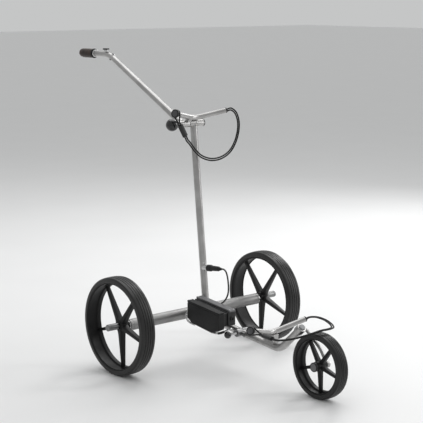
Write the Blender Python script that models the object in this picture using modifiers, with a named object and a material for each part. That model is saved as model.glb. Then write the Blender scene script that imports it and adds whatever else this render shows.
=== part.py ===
"""Electric golf trolley: three spoked wheels, a folding front boom, a leaning mast and a folding handle.

Frame: +Z up, the front of the trolley towards -Y, the driver's right-hand side towards -X.
The origin lies on the ground, under the middle of the trolley's bounding box. Metres.
"""

import math

import bmesh
import bpy
from mathutils import Matrix, Vector

# ---- driving dimensions ----
REAR_RADIUS = 0.150
REAR_RIM_INNER = 0.127
REAR_WIDTH = 0.0515
TRACK_HALF = 0.296
AXLE_END = 0.3405
AXLE_Y = 0.0545
FRONT_RADIUS = 0.0959
FRONT_RIM_INNER = 0.0746
FRONT_WIDTH = 0.0396
FRONT_AXLE_Y = FRONT_RADIUS - 0.5975
GRIP_END_Y = 0.5975

AXLE_TUBE_RADIUS = 0.0175
AXLE_TUBE_HALF = 0.262
MOTOR_DROP = 0.004
TUBE_RADIUS = 0.011
TUBE_WALL = 0.0015
JOINT_GAP = 0.0003

BOOM_PITCH = math.radians(5.5)
MAST_LEAN = math.radians(5.95)
MAST_FOOT_Y = AXLE_Y - 0.0565
MAST_LENGTH = 0.6037
FOLD_Y = AXLE_Y - 0.2205
BEND_Y = AXLE_Y - 0.392
HEAD_Y = AXLE_Y - 0.472
HEAD_Z = 0.183

HANDLE_X = -0.043
HANDLE_PITCH = math.radians(27.7)
GRIP_Z = 0.940
BEND_RADIUS = 0.10
GRIP_START_Y = AXLE_Y + 0.4715

BARREL_RADIUS = 0.011
EYE_RADIUS = 0.012
STUD_RADIUS = 0.004
STUD_BORE = 0.0045
CRADLE_RADIUS = 0.0080
CRADLE_SPIGOT = 0.0064
CRADLE_BEND = 0.070
HUB_BORE = 0.0053
HANDLE_RADIUS = 0.0107
HANDLE_END_RADIUS = 0.0093
BUNGEE_RADIUS = 0.00225
LEAD_RADIUS = 0.0025

# ---- places worked out from them ----
MOTOR_Z = REAR_RADIUS - MOTOR_DROP


def boom_point(y, height=0.0, x=0.0):
    """A point over the boom's centre line, that high above it along its normal."""
    z = MOTOR_Z + (y - AXLE_Y) * math.tan(BOOM_PITCH)
    return Vector((x, y - height * math.sin(BOOM_PITCH), z + height * math.cos(BOOM_PITCH)))


MAST_FOOT = boom_point(MAST_FOOT_Y)
MAST_UP = Vector((0, math.sin(MAST_LEAN), math.cos(MAST_LEAN)))
MAST_FRONT = Vector((0, -math.cos(MAST_LEAN), math.sin(MAST_LEAN)))
HINGE = MAST_FOOT + MAST_UP * MAST_LENGTH
FOLD = boom_point(FOLD_Y)
BOOM_BACK = Vector((0, math.cos(BOOM_PITCH), math.sin(BOOM_PITCH)))
HANDLE_ALONG = Vector((0, math.cos(HANDLE_PITCH), math.sin(HANDLE_PITCH)))
HANDLE_UP = Vector((0, -math.sin(HANDLE_PITCH), math.cos(HANDLE_PITCH)))
UPPER_V_END = Vector((0.096, AXLE_Y - 0.0344, 0.778))
UPPER_V_MIDDLE = Vector((0, AXLE_Y + 0.0050, 0.7570))
LOWER_V_END = Vector((0.1045, AXLE_Y - 0.387, 0.180))
LOWER_V_MIDDLE = Vector((0, AXLE_Y - 0.357, 0.1515))
FRONT_AXLE = Vector((0, FRONT_AXLE_Y, FRONT_RADIUS))

# ---- clean file and collections ----
for old in list(bpy.data.objects):
    bpy.data.objects.remove(old, do_unlink=True)
PARTS = bpy.data.collections.new("electric_golf_trolley")
CUTTERS = bpy.data.collections.new("cutters")
for made in (PARTS, CUTTERS):
    bpy.context.scene.collection.children.link(made)


def make_material(name, colour, roughness, metallic=0.0):
    material = bpy.data.materials.new(name)
    material.use_nodes = True
    shader = material.node_tree.nodes["Principled BSDF"]
    shader.inputs["Base Color"].default_value = (*colour, 1.0)
    shader.inputs["Roughness"].default_value = roughness
    shader.inputs["Metallic"].default_value = metallic
    material.diffuse_color = (*colour, 1.0)
    return material


TITANIUM = make_material("titanium", (0.50, 0.49, 0.48), 0.32, 1.0)
STEEL = make_material("steel", (0.62, 0.62, 0.62), 0.25, 1.0)
GREY_PLASTIC = make_material("grey_plastic", (0.16, 0.16, 0.165), 0.45)
BLACK_PLASTIC = make_material("black_plastic", (0.012, 0.012, 0.013), 0.42)
GLOSS_BLACK = make_material("gloss_black", (0.010, 0.010, 0.011), 0.12)
TYRE_RUBBER = make_material("tyre_rubber", (0.022, 0.021, 0.021), 0.62)
LEATHER = make_material("leather", (0.030, 0.022, 0.020), 0.60)
CORD_BLACK = make_material("cord_black", (0.012, 0.012, 0.012), 0.55)
BATTERY_SKIN = make_material("battery_skin", (0.014, 0.014, 0.015), 0.60)
MOTOR_METAL = make_material("motor_metal", (0.30, 0.30, 0.31), 0.35, 1.0)


# ---- general shape makers ----
def add_part(name, data, material, matrix=None):
    """A named sub-part in the parts collection."""
    part = bpy.data.objects.new(name, data)
    PARTS.objects.link(part)
    part.matrix_world = matrix or Matrix()
    data.materials.append(material)
    return part


def shade(part, angle=35):
    part.data.shade_smooth()
    part.data.set_sharp_from_angle(angle=math.radians(angle))


def as_cutter(part):
    """Turn an object into a hidden operand of a Boolean."""
    PARTS.objects.unlink(part)
    CUTTERS.objects.link(part)
    part.hide_render = True
    part.display_type = "WIRE"
    return part


def boolean(part, operand, operation="DIFFERENCE"):
    step = part.modifiers.new(operand.name, "BOOLEAN")
    step.operation = operation
    step.object = operand
    step.solver = "EXACT"


def bevel(part, width, segments=2, angle=35):
    step = part.modifiers.new("rounded", "BEVEL")
    step.width = width
    step.segments = segments
    step.limit_method = "ANGLE"
    step.angle_limit = math.radians(angle)


def pointing(direction, origin):
    """A matrix whose +Z runs along a direction, at an origin."""
    turn = Vector(direction).to_track_quat("Z", "Y").to_matrix().to_4x4()
    return Matrix.Translation(Vector(origin)) @ turn


def turned(name, profile, material, direction, origin, steps=24):
    """A solid of revolution about a direction. The profile is (radius, height), from the top down."""
    mesh = bpy.data.meshes.new(name)
    closed = min(radius for radius, _ in profile) > 0
    points = [(radius, 0, height) for radius, height in profile]
    edges = [(i, i + 1) for i in range(len(points) - 1)]
    if closed:
        edges.append((len(points) - 1, 0))
    mesh.from_pydata(points, edges, [])
    part = add_part(name, mesh, material, pointing(direction, origin))
    screw = part.modifiers.new("turned", "SCREW")
    screw.steps = screw.render_steps = steps
    screw.use_merge_vertices = True
    screw.merge_threshold = 0.00001
    screw.use_smooth_shade = True
    return part


def rod(name, radius, start, end, material, steps=20, bore=0.0):
    """A round bar or, with a bore, a tube, from one point to another."""
    start, end = Vector(start), Vector(end)
    long = (end - start).length
    profile = [(0, long), (radius, long), (radius, 0), (0, 0)]
    if bore:
        profile = [(bore, long), (radius, long), (radius, 0), (bore, 0)]
    return turned(name, profile, material, end - start, start, steps)


def along_x(name, radius, x0, x1, centre, material, steps=20, bore=0.0):
    """A rod parallel to the X axis."""
    _, y, z = centre
    return rod(name, radius, (x0, y, z), (x1, y, z), material, steps, bore)


def ball(name, radius, centre, material):
    mesh = bpy.data.meshes.new(name)
    shape = bmesh.new()
    bmesh.ops.create_uvsphere(shape, u_segments=18, v_segments=12, radius=radius)
    shape.to_mesh(mesh)
    shape.free()
    part = add_part(name, mesh, material, Matrix.Translation(Vector(centre)))
    shade(part)
    return part


def box(name, size, centre, material, pitch=0.0, rounding=0.0):
    """A box turned about X by a pitch, with its scale applied."""
    mesh = bpy.data.meshes.new(name)
    shape = bmesh.new()
    bmesh.ops.create_cube(shape, size=1.0)
    bmesh.ops.scale(shape, vec=Vector(size), verts=shape.verts)
    shape.to_mesh(mesh)
    shape.free()
    matrix = Matrix.Translation(Vector(centre)) @ Matrix.Rotation(pitch, 4, "X")
    part = add_part(name, mesh, material, matrix)
    if rounding:
        bevel(part, rounding)
    return part


def wire(name, points, radius, material, resolution=3, caps=True, radii=None):
    """A curve of round section through its points."""
    curve = bpy.data.curves.new(name, "CURVE")
    curve.dimensions = "3D"
    curve.bevel_depth = radius
    curve.bevel_resolution = resolution
    curve.use_fill_caps = caps
    spline = curve.splines.new("POLY")
    spline.points.add(len(points) - 1)
    for i, point in enumerate(points):
        spline.points[i].co = (*point, 1.0)
        spline.points[i].radius = radii[i] if radii else 1.0
    return add_part(name, curve, material)


def as_mesh(part):
    """The same object as a welded mesh, which a Boolean can cut."""
    seen = part.evaluated_get(bpy.context.evaluated_depsgraph_get())
    mesh = bpy.data.meshes.new_from_object(seen)
    shape = bmesh.new()
    shape.from_mesh(mesh)
    bmesh.ops.remove_doubles(shape, verts=shape.verts, dist=0.00001)
    bmesh.ops.recalc_face_normals(shape, faces=shape.faces)
    shape.to_mesh(mesh)
    shape.free()
    name, matrix, old = part.name, part.matrix_world.copy(), part.data
    bpy.data.objects.remove(part)
    bpy.data.curves.remove(old)
    solid = bpy.data.objects.new(name, mesh)
    PARTS.objects.link(solid)
    solid.matrix_world = matrix
    shade(solid)
    return solid


def bent_tube(name, points, radius, wall, material, resolution=4, radii=None):
    """A hollow tube with open ends, as a mesh."""
    part = as_mesh(wire(name, points, radius, material, resolution, False, radii))
    shell = part.modifiers.new("wall", "SOLIDIFY")
    shell.thickness = wall
    shell.offset = -1
    return part


def slab(name, outline, x0, x1, material, rounding=0.0):
    """A flat outline of (y, z) points, from x0 to x1."""
    curve = bpy.data.curves.new(name, "CURVE")
    curve.dimensions = "2D"
    curve.fill_mode = "BOTH"
    curve.extrude = (x1 - x0) / 2
    spline = curve.splines.new("POLY")
    spline.points.add(len(outline) - 1)
    for i, (y, z) in enumerate(outline):
        spline.points[i].co = (y, z, 0, 1)
    spline.use_cyclic_u = True
    part = add_part(name, curve, material)
    turn = Matrix(((0, 0, 1), (1, 0, 0), (0, 1, 0))).to_4x4()
    part.matrix_world = Matrix.Translation(Vector(((x0 + x1) / 2, 0, 0))) @ turn
    part = as_mesh(part)
    if rounding:
        bevel(part, rounding)
    return part


def fillet(corner, before, after, radius, steps=6):
    """Points of an arc that rounds the corner between two directions."""
    corner, before, after = Vector(corner), Vector(before).normalized(), Vector(after).normalized()
    turn = before.angle(after)
    start = corner - before * radius * math.tan(turn / 2)
    inward = (after - before * before.dot(after)).normalized()
    points = []
    for i in range(steps + 1):
        angle = turn * i / steps
        points.append(start + (before * math.sin(angle) + inward * (1 - math.cos(angle))) * radius)
    return points


def smooth_route(route, spacing):
    """Evenly spaced points on a Catmull-Rom curve through the route's points."""
    p = [Vector(q) for q in route]
    p = [p[0] * 2 - p[1], *p, p[-1] * 2 - p[-2]]
    fine = []
    for a, b, c, d in zip(p, p[1:], p[2:], p[3:]):
        for i in range(24):
            t = i / 24
            line = 2 * b + (c - a) * t
            square = (2 * a - 5 * b + 4 * c - d) * t**2
            cube = (3 * b - a - 3 * c + d) * t**3
            fine.append((line + square + cube) / 2)
    fine.append(p[-2])
    length = sum((b - a).length for a, b in zip(fine, fine[1:]))
    count = max(2, round(length / spacing))
    out, walked, target = [fine[0]], 0.0, length / count
    for a, b in zip(fine, fine[1:]):
        step = (b - a).length
        while walked + step >= target and len(out) < count:
            out.append(a.lerp(b, (target - walked) / step))
            target += length / count
        walked += step
    return [*out, fine[-1]]


# ---- wheels ----
def make_wheel(side, centre, radius, rim_inner, width, out, hub, blade):
    """A tyre and a one-piece rim with five tapered spokes. out is +1 or -1, the outer side along X.

    The hub is (radius, inner end, outer end). The blade is its root and its tip, as in spokes().
    """
    half = width / 2
    seat = rim_inner + 0.0065
    depth = (radius - seat) / 0.016
    tread = [
        (seat, half - 0.001),
        (seat + 0.006 * depth, half),
        (radius - 0.0030 * depth, half - 0.0018),
        (radius, half - 0.009),
        (radius, -half + 0.009),
        (radius - 0.0030 * depth, -half + 0.0018),
        (seat + 0.006 * depth, -half),
        (seat, -half + 0.001),
    ]
    axis = (out, 0, 0)
    turned(f"{side}_tyre", tread, TYRE_RUBBER, axis, centre, 48)
    bed = half - 0.0025
    barrel = rim_inner + 0.0045
    ring = [
        (rim_inner + 0.0025, bed),
        (seat - JOINT_GAP, bed),
        (seat - JOINT_GAP, -bed),
        (rim_inner, -bed),
        (rim_inner, -bed + 0.0130),
        (barrel, -bed + 0.0145),
        (barrel, bed - 0.0030),
        (rim_inner + 0.0025, bed - 0.0020),
    ]
    rim = turned(f"{side}_rim", ring, BLACK_PLASTIC, axis, centre, 48)
    hub_radius, hub_in, hub_out = hub
    hub_profile = [
        (HUB_BORE, hub_out),
        (hub_radius * 0.85, hub_out),
        (hub_radius, hub_out - 0.003),
        (hub_radius, hub_in),
        (HUB_BORE, hub_in),
    ]
    core = turned(f"{side}_hub_core", hub_profile, BLACK_PLASTIC, axis, centre, 24)
    reach = (hub_radius - 0.003, barrel + 0.001)
    boolean(rim, as_cutter(spokes(side, centre, reach, out, *blade)), "UNION")
    boolean(rim, as_cutter(core), "UNION")


def spokes(side, centre, reach, out, root, tip):
    """Five separate tapered blades in one mesh, one of them straight down.

    Each end of a blade is (thickness round the wheel, inner edge, outer edge along the axis).
    """
    mesh = bpy.data.meshes.new(f"{side}_spokes")
    shape = bmesh.new()
    for i in range(5):
        turn = Matrix.Rotation(math.radians(180 + 72 * i), 4, "X")
        corners = []
        for height, (thick, inner, outer) in zip(reach, (root, tip)):
            half = thick / 2
            for x, y in ((inner, -half), (outer, -half), (outer, half), (inner, half)):
                corners.append(shape.verts.new(turn @ Vector((x * out, y, height))))
        for face in ((0, 1, 2, 3), (7, 6, 5, 4), (0, 4, 5, 1), (1, 5, 6, 2), (2, 6, 7, 3), (3, 7, 4, 0)):
            shape.faces.new([corners[k] for k in face])
    bmesh.ops.recalc_face_normals(shape, faces=shape.faces)
    shape.to_mesh(mesh)
    shape.free()
    return add_part(f"{side}_spokes", mesh, BLACK_PLASTIC, Matrix.Translation(Vector(centre)))


def make_rear_wheel(side, out):
    """A driven wheel, its shaft and the knob that frees it."""
    centre = (out * TRACK_HALF, AXLE_Y, REAR_RADIUS)
    hub = (0.0165, 0.2675 - TRACK_HALF, 0.3005 - TRACK_HALF)
    blade = ((0.0140, -0.019, 0.001), (0.0080, -0.019, -0.0084))
    make_wheel(side, centre, REAR_RADIUS, REAR_RIM_INNER, REAR_WIDTH, out, hub, blade)
    along_x(f"{side}_drive_shaft", 0.005, out * 0.236, out * 0.322, centre, STEEL, 16)
    foot = 0.3012
    long = AXLE_END - foot
    socket_depth = 0.0262
    profile = [
        (0.0, long),
        (0.0090, long),
        (0.0103, long - 0.002),
        (0.0103, 0.0),
        (0.0056, 0.0),
        (0.0056, socket_depth),
        (0.0, socket_depth),
    ]
    place = (out * foot, AXLE_Y, REAR_RADIUS)
    turned(f"{side}_release_knob", profile, TITANIUM, (out, 0, 0), place, 24)


# ---- rear chassis ----
def make_axle():
    """The axle housing with a motor, an offset gearbox and a bearing plug in each end."""
    centre = (0, AXLE_Y, MOTOR_Z)
    wheel_axis = (0, AXLE_Y, REAR_RADIUS)
    bore = AXLE_TUBE_RADIUS - 0.002
    along_x("axle_tube", AXLE_TUBE_RADIUS, -AXLE_TUBE_HALF, AXLE_TUBE_HALF, centre, TITANIUM, 32, bore)
    for side, out in (("right", -1), ("left", 1)):
        fit = bore - 0.0005
        along_x(f"{side}_motor", fit - 0.001, out * 0.105, out * 0.195, centre, MOTOR_METAL, 20)
        along_x(f"{side}_gearbox", fit, out * 0.1955, out * 0.2352, centre, MOTOR_METAL, 20)
        plug = along_x(f"{side}_axle_bearing", fit, out * 0.246, out * 0.2655, centre, STEEL, 24)
        hole = along_x(f"{side}_shaft_hole", 0.0054, out * 0.24, out * 0.27, wheel_axis, STEEL, 20)
        boolean(plug, as_cutter(hole))


def make_boom():
    """The rear boom, from the axle tube to the fold joint, and the joint's rear eye."""
    start, end = boom_point(AXLE_Y), FOLD + BOOM_BACK * 0.002
    boom = rod("rear_boom", TUBE_RADIUS, end, start, TITANIUM, 24, TUBE_RADIUS - TUBE_WALL)
    around_axle = along_x("axle_notch", AXLE_TUBE_RADIUS + JOINT_GAP, -0.03, 0.03, start, TITANIUM, 32)
    around_eye = along_x("fold_notch", EYE_RADIUS + 0.0012, -0.03, 0.03, FOLD, TITANIUM, 32)
    boolean(boom, as_cutter(around_axle))
    boolean(boom, as_cutter(around_eye))
    eye = along_x("boom_hinge_eye", EYE_RADIUS, 0.0004, 0.022, FOLD, TITANIUM, 28, STUD_BORE)
    lug = rod("eye_lug", 0.0075, FOLD + BOOM_BACK * 0.008, FOLD + BOOM_BACK * 0.030, TITANIUM, 16)
    lug.location.x += 0.0078
    keep = box("eye_lug_side", (0.02, 0.08, 0.04), FOLD + Vector((-0.0096, 0.02, 0)), TITANIUM)
    boolean(lug, as_cutter(keep))
    inside = rod("boom_inside", TUBE_RADIUS - TUBE_WALL - 0.001, FOLD, start, TITANIUM, 24)
    boolean(lug, as_cutter(inside), "INTERSECT")
    boolean(eye, as_cutter(lug), "UNION")


def make_mast():
    """The mast tube and the half of the handle hinge that it carries."""
    mast = rod("mast_tube", TUBE_RADIUS, MAST_FOOT, HINGE, TITANIUM, 24, TUBE_RADIUS - TUBE_WALL)
    boom_here = (boom_point(MAST_FOOT_Y - 0.05), boom_point(MAST_FOOT_Y + 0.05))
    foot = rod("mast_foot_notch", TUBE_RADIUS + JOINT_GAP, *boom_here, TITANIUM, 32)
    head = along_x("mast_head_notch", BARREL_RADIUS + JOINT_GAP, -0.03, 0.03, HINGE, TITANIUM, 32)
    boolean(mast, as_cutter(foot))
    boolean(mast, as_cutter(head))
    along_x("mast_hinge_barrel", BARREL_RADIUS, -0.0195, 0.036, HINGE, TITANIUM, 28, STUD_BORE)


def make_power_unit():
    """The controller box, the battery dock, the battery and the wire tray under it."""
    def z_at(y, height):
        return height + (y - AXLE_Y) * math.tan(BOOM_PITCH)

    front, rear = AXLE_Y - 0.208, AXLE_Y - 0.050
    seam = 0.208
    outline = [
        (front, z_at(front, 0.1665)),
        (front, z_at(front, seam)),
        (rear, z_at(rear, seam)),
        (rear, z_at(rear, 0.1745)),
        (rear - 0.012, z_at(rear, 0.1665)),
    ]
    slab("controller_case", outline, -0.043, -0.013, BLACK_PLASTIC, 0.0015)
    lid = [
        (front, z_at(front, seam + JOINT_GAP)),
        (front, z_at(front, seam + 0.0065)),
        (rear - 0.002, z_at(rear, seam + 0.0065)),
        (rear, z_at(rear, seam + 0.0045)),
        (rear, z_at(rear, seam + JOINT_GAP)),
    ]
    slab("controller_lid", lid, -0.037, -0.013, GREY_PLASTIC, 0.0012)
    dock = [
        (front + 0.004, z_at(front, 0.1665)),
        (front + 0.004, z_at(front, 0.206)),
        (rear - 0.020, z_at(rear, 0.206)),
        (rear - 0.020, z_at(rear, 0.1665)),
    ]
    slab("battery_dock", dock, -0.0587, -0.0433, BLACK_PLASTIC, 0.001)
    front, rear = AXLE_Y - 0.210, AXLE_Y - 0.062
    seam = 0.207
    case = [
        (front, z_at(front, 0.161)),
        (front, z_at(front, seam)),
        (rear, z_at(rear, seam)),
        (rear, z_at(rear, 0.1575)),
        (rear - 0.021, z_at(rear, 0.1440)),
        (front + 0.032, z_at(front, 0.1460)),
    ]
    slab("battery_case", case, -0.083, -0.059, BATTERY_SKIN, 0.0015)
    cover = [
        (front, z_at(front, seam + JOINT_GAP)),
        (front, z_at(front, seam + 0.0065)),
        (rear, z_at(rear, seam + 0.0065)),
        (rear, z_at(rear, seam + JOINT_GAP)),
    ]
    slab("battery_lid", cover, -0.083, -0.059, BATTERY_SKIN, 0.0018)


def make_tray():
    """A bent wire loop on the boom that carries the battery."""
    route = [
        boom_point(AXLE_Y - 0.196, 0.002, -0.0115),
        (-0.026, AXLE_Y - 0.1970, 0.1340),
        (-0.044, AXLE_Y - 0.1940, 0.1280),
        (-0.058, AXLE_Y - 0.1870, 0.1238),
        (-0.0665, AXLE_Y - 0.1750, 0.1226),
        (-0.0690, AXLE_Y - 0.1590, 0.1248),
        (-0.0690, AXLE_Y - 0.1200, 0.1298),
        (-0.0690, AXLE_Y - 0.0960, 0.1328),
        (-0.0650, AXLE_Y - 0.0800, 0.1345),
        (-0.0540, AXLE_Y - 0.0710, 0.1365),
        (-0.0380, AXLE_Y - 0.0690, 0.1380),
        (-0.0240, AXLE_Y - 0.0690, 0.1390),
        boom_point(AXLE_Y - 0.069, 0, -0.0115),
    ]
    wire("battery_tray", smooth_route(route, 0.009), 0.0028, STEEL, 3)


# ---- the socket, plug and lead on the mast ----
SOCKET_HEIGHT = 0.1547
SOCKET = MAST_FOOT + MAST_UP * SOCKET_HEIGHT
PLUG_FACE = 0.0243
PLUG_LENGTH = 0.064
GLAND = Vector((-0.0088, AXLE_Y - 0.098, 0.1955))
LEAD_ROUTE = [
    SOCKET + MAST_FRONT * (PLUG_FACE + PLUG_LENGTH + JOINT_GAP),
    SOCKET + MAST_FRONT * (PLUG_FACE + PLUG_LENGTH + 0.009),
    (-0.0010, AXLE_Y - 0.1490, 0.2995),
    (-0.0022, AXLE_Y - 0.1570, 0.2870),
    (-0.0034, AXLE_Y - 0.1622, 0.2710),
    (-0.0042, AXLE_Y - 0.1650, 0.2520),
    (-0.0050, AXLE_Y - 0.1635, 0.2330),
    (-0.0058, AXLE_Y - 0.1550, 0.2160),
    (-0.0068, AXLE_Y - 0.1400, 0.2010),
    (-0.0080, AXLE_Y - 0.1245, 0.1952),
    GLAND - BOOM_BACK * 0.0155,
    GLAND - BOOM_BACK * 0.0104,
]


def make_power_lead():
    """The power socket on the mast's front, its plug, the lead and the gland on the controller."""
    socket = rod("power_socket", 0.0105, SOCKET + MAST_FRONT * 0.005, SOCKET + MAST_FRONT * 0.024, STEEL, 24)
    mast_here = (SOCKET - MAST_UP * 0.03, SOCKET + MAST_UP * 0.03)
    saddle = rod("socket_saddle", TUBE_RADIUS + JOINT_GAP, *mast_here, STEEL, 32)
    boolean(socket, as_cutter(saddle))
    long = PLUG_LENGTH
    profile = [
        (0.0, long),
        (0.0030, long),
        (0.0050, long - 0.006),
        (0.0074, long - 0.013),
        (0.0080, long - 0.028),
        (0.0086, 0.0180),
        (0.0106, 0.0140),
        (0.0106, 0.0),
        (0.0, 0.0),
    ]
    turned("power_plug", profile, BLACK_PLASTIC, MAST_FRONT, SOCKET + MAST_FRONT * PLUG_FACE, 20)
    wire("power_lead", smooth_route(LEAD_ROUTE, 0.0075), LEAD_RADIUS, CORD_BLACK, 2)
    box("cable_gland", (0.0078, 0.020, 0.011), GLAND, BLACK_PLASTIC, BOOM_PITCH, 0.002)


# ---- shape of a bag cradle ----
def mirrored(point, side):
    return Vector((point.x * side, point.y, point.z))


def cradle_path(middle, end):
    """The centre line of a V across the trolley, from its right end to its left one."""
    left, right = mirrored(end, 1), mirrored(end, -1)
    return [right, *fillet(middle, middle - right, left - middle, CRADLE_BEND), left]


def cradle_low_point(middle, end):
    """The middle of the V's rounded corner."""
    path = cradle_path(middle, end)
    return path[len(path) // 2]


# ---- folding front boom ----
BRACKET_TOP = 0.0380
BRACKET_OFFSET = 0.012
PAD_OFFSET = 0.0230
PAD_HEIGHT = 0.002
RISER_UP = (Vector((0, HEAD_Y, HEAD_Z)) - boom_point(BEND_Y)).normalized()


def make_front_boom():
    """The front boom with its eye, the lower bag cradle on its bracket and the one-sided fork."""
    head = Vector((0, HEAD_Y, HEAD_Z))
    start = FOLD - BOOM_BACK * 0.002
    path = [start, *fillet(boom_point(BEND_Y), -BOOM_BACK, RISER_UP, 0.05, 5), head - RISER_UP * 0.0093]
    boom = bent_tube("front_boom", path, TUBE_RADIUS, TUBE_WALL, TITANIUM)
    notch = along_x("front_fold_notch", EYE_RADIUS + 0.0042, -0.03, 0.03, FOLD, TITANIUM, 32)
    boolean(boom, as_cutter(notch))
    eye = along_x("front_boom_eye", EYE_RADIUS, -0.022, -0.0004, FOLD, TITANIUM, 28, STUD_BORE)
    lug = rod("front_lug", 0.0075, FOLD - BOOM_BACK * 0.008, FOLD - BOOM_BACK * 0.030, TITANIUM, 16)
    lug.location.x -= 0.0078
    keep = box("front_lug_side", (0.02, 0.08, 0.04), FOLD + Vector((0.0096, -0.02, 0)), TITANIUM)
    boolean(lug, as_cutter(keep))
    fit = TUBE_RADIUS - TUBE_WALL - 0.001
    inside = rod("front_inside", fit, FOLD - BOOM_BACK * 0.05, FOLD, TITANIUM, 24)
    boolean(lug, as_cutter(inside), "INTERSECT")
    boolean(eye, as_cutter(lug), "UNION")

    saddle_y = cradle_low_point(LOWER_V_MIDDLE, LOWER_V_END).y
    low = 0.0085
    plate = box(
        "lower_cradle_bracket",
        (0.020, 0.044, BRACKET_TOP - low),
        boom_point(saddle_y + BRACKET_OFFSET, (BRACKET_TOP + low) / 2),
        TITANIUM,
        BOOM_PITCH,
        0.0012,
    )
    boom_here = (boom_point(saddle_y - 0.05), boom_point(saddle_y + 0.06))
    boolean(plate, as_cutter(rod("bracket_saddle", TUBE_RADIUS + JOINT_GAP, *boom_here, TITANIUM, 32)))
    bed = wire(
        "bracket_bed",
        cradle_path(LOWER_V_MIDDLE, LOWER_V_END),
        CRADLE_RADIUS + JOINT_GAP,
        TITANIUM,
        4,
    )
    boolean(plate, as_cutter(as_mesh(bed)))
    pad_centre = boom_point(saddle_y + PAD_OFFSET, BRACKET_TOP + PAD_HEIGHT - 0.0025)
    pad = box("bracket_pad", (0.018, 0.0200, 0.005), pad_centre, TITANIUM, BOOM_PITCH, 0.0006)
    boolean(plate, as_cutter(pad), "UNION")
    make_cradle("lower", LOWER_V_MIDDLE, LOWER_V_END)

    rod("fork_head", 0.0145, head - RISER_UP * 0.009, head + RISER_UP * 0.013, TITANIUM, 24)
    side = 0.026
    arm_top = head - RISER_UP * 0.002
    root = arm_top + Vector((0.0149, 0, 0))
    arm = [
        arm_top + Vector((0.0178, 0, 0)),
        arm_top + Vector((0.0238, -0.0070, -0.0040)),
        Vector((side, arm_top.y - 0.022, arm_top.z - 0.018)),
        Vector((side + 0.0005, FRONT_AXLE.y + 0.028, FRONT_AXLE.z + 0.040)),
        Vector((side + 0.0005, FRONT_AXLE.y + 0.0035, FRONT_AXLE.z + 0.006)),
    ]
    bar = as_mesh(wire("fork_arm", [root, *smooth_route(arm, 0.009)], 0.0050, TITANIUM, 3))
    eye = along_x("fork_eye", 0.011, side - 0.005, side + 0.006, FRONT_AXLE, TITANIUM, 24)
    hole = along_x("fork_hole", 0.0046, side - 0.01, side + 0.01, FRONT_AXLE, TITANIUM, 20)
    boolean(bar, as_cutter(eye), "UNION")
    boolean(bar, as_cutter(hole))
    along_x("front_axle", 0.0043, -0.0185, side + 0.0065, FRONT_AXLE, STEEL, 18)


def make_front_wheel():
    """The steered end's free-running wheel and its release knob."""
    hub = (0.014, -0.0200, 0.0182)
    blade = ((0.0118, -0.0081, 0.0057), (0.0072, -0.0105, 0.0003))
    make_wheel("front", FRONT_AXLE, FRONT_RADIUS, FRONT_RIM_INNER, FRONT_WIDTH, -1, hub, blade)
    profile = [(0, 0.0087), (0.0125, 0.0087), (0.0135, 0.0077), (0.0135, 0.0), (0.0, 0.0)]
    place = FRONT_AXLE + Vector((-0.0190, 0, 0))
    turned("front_release_knob", profile, BLACK_PLASTIC, (-1, 0, 0), place, 24)


# ---- bag cradles and bungees ----
PLUG_REACH = 0.0055


def make_cradle(name, middle, end):
    """A V-shaped tube, with a hook knob on its right end and a bungee plug on its left end."""
    left, right = mirrored(end, 1), mirrored(end, -1)
    arm = (left - middle).normalized()
    bent_tube(f"{name}_bag_cradle", cradle_path(middle, end), CRADLE_RADIUS, 0.0012, TITANIUM, 3)
    plug = [
        (0.0, PLUG_REACH),
        (0.0056, PLUG_REACH),
        (0.0064, 0.0030),
        (0.0083, 0.0024),
        (0.0083, JOINT_GAP),
        (CRADLE_SPIGOT, JOINT_GAP),
        (CRADLE_SPIGOT, -0.012),
        (0.0, -0.012),
    ]
    turned(f"{name}_bungee_plug", plug, BLACK_PLASTIC, arm, left, 20)
    cap = [
        (0.0, 0.0165),
        (0.0115, 0.0165),
        (0.0130, 0.0150),
        (0.0130, 0.0105),
        (0.0070, 0.0090),
        (0.0070, JOINT_GAP),
        (CRADLE_SPIGOT, JOINT_GAP),
        (CRADLE_SPIGOT, -0.012),
        (0.0, -0.012),
    ]
    turned(f"{name}_bungee_hook", cap, BLACK_PLASTIC, mirrored(arm, -1), right, 24)


STRAND_OFFSET = 0.0031
HOOK_TURN_RADIUS = 0.0112
HOOK_TURN_AT = 0.0040
SLEEVE_LENGTH = 0.038

UPPER_SLEEVE = Vector((-0.0865, AXLE_Y - 0.0490, 0.7280))
UPPER_SLEEVE_ALONG = Vector((-0.45, 0.08, 0.89)).normalized()
UPPER_SIDE = (0, 1, 0)
UPPER_STRAND = [
    (0.1250, AXLE_Y - 0.0480, 0.7700),
    (0.1335, AXLE_Y - 0.0510, 0.7450),
    (0.1335, AXLE_Y - 0.0510, 0.7150),
    (0.1225, AXLE_Y - 0.0500, 0.6800),
    (0.0995, AXLE_Y - 0.0500, 0.6510),
    (0.0650, AXLE_Y - 0.0500, 0.6345),
    (0.0250, AXLE_Y - 0.0500, 0.6320),
    (-0.0130, AXLE_Y - 0.0500, 0.6440),
    (-0.0400, AXLE_Y - 0.0500, 0.6650),
    (-0.0600, AXLE_Y - 0.0500, 0.6880),
]
LOWER_SLEEVE = Vector((-0.0945, AXLE_Y - 0.4390, 0.1715))
LOWER_SLEEVE_ALONG = Vector((0.0, 1.0, 0.04)).normalized()
LOWER_SIDE = (0, 0, 1)
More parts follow.
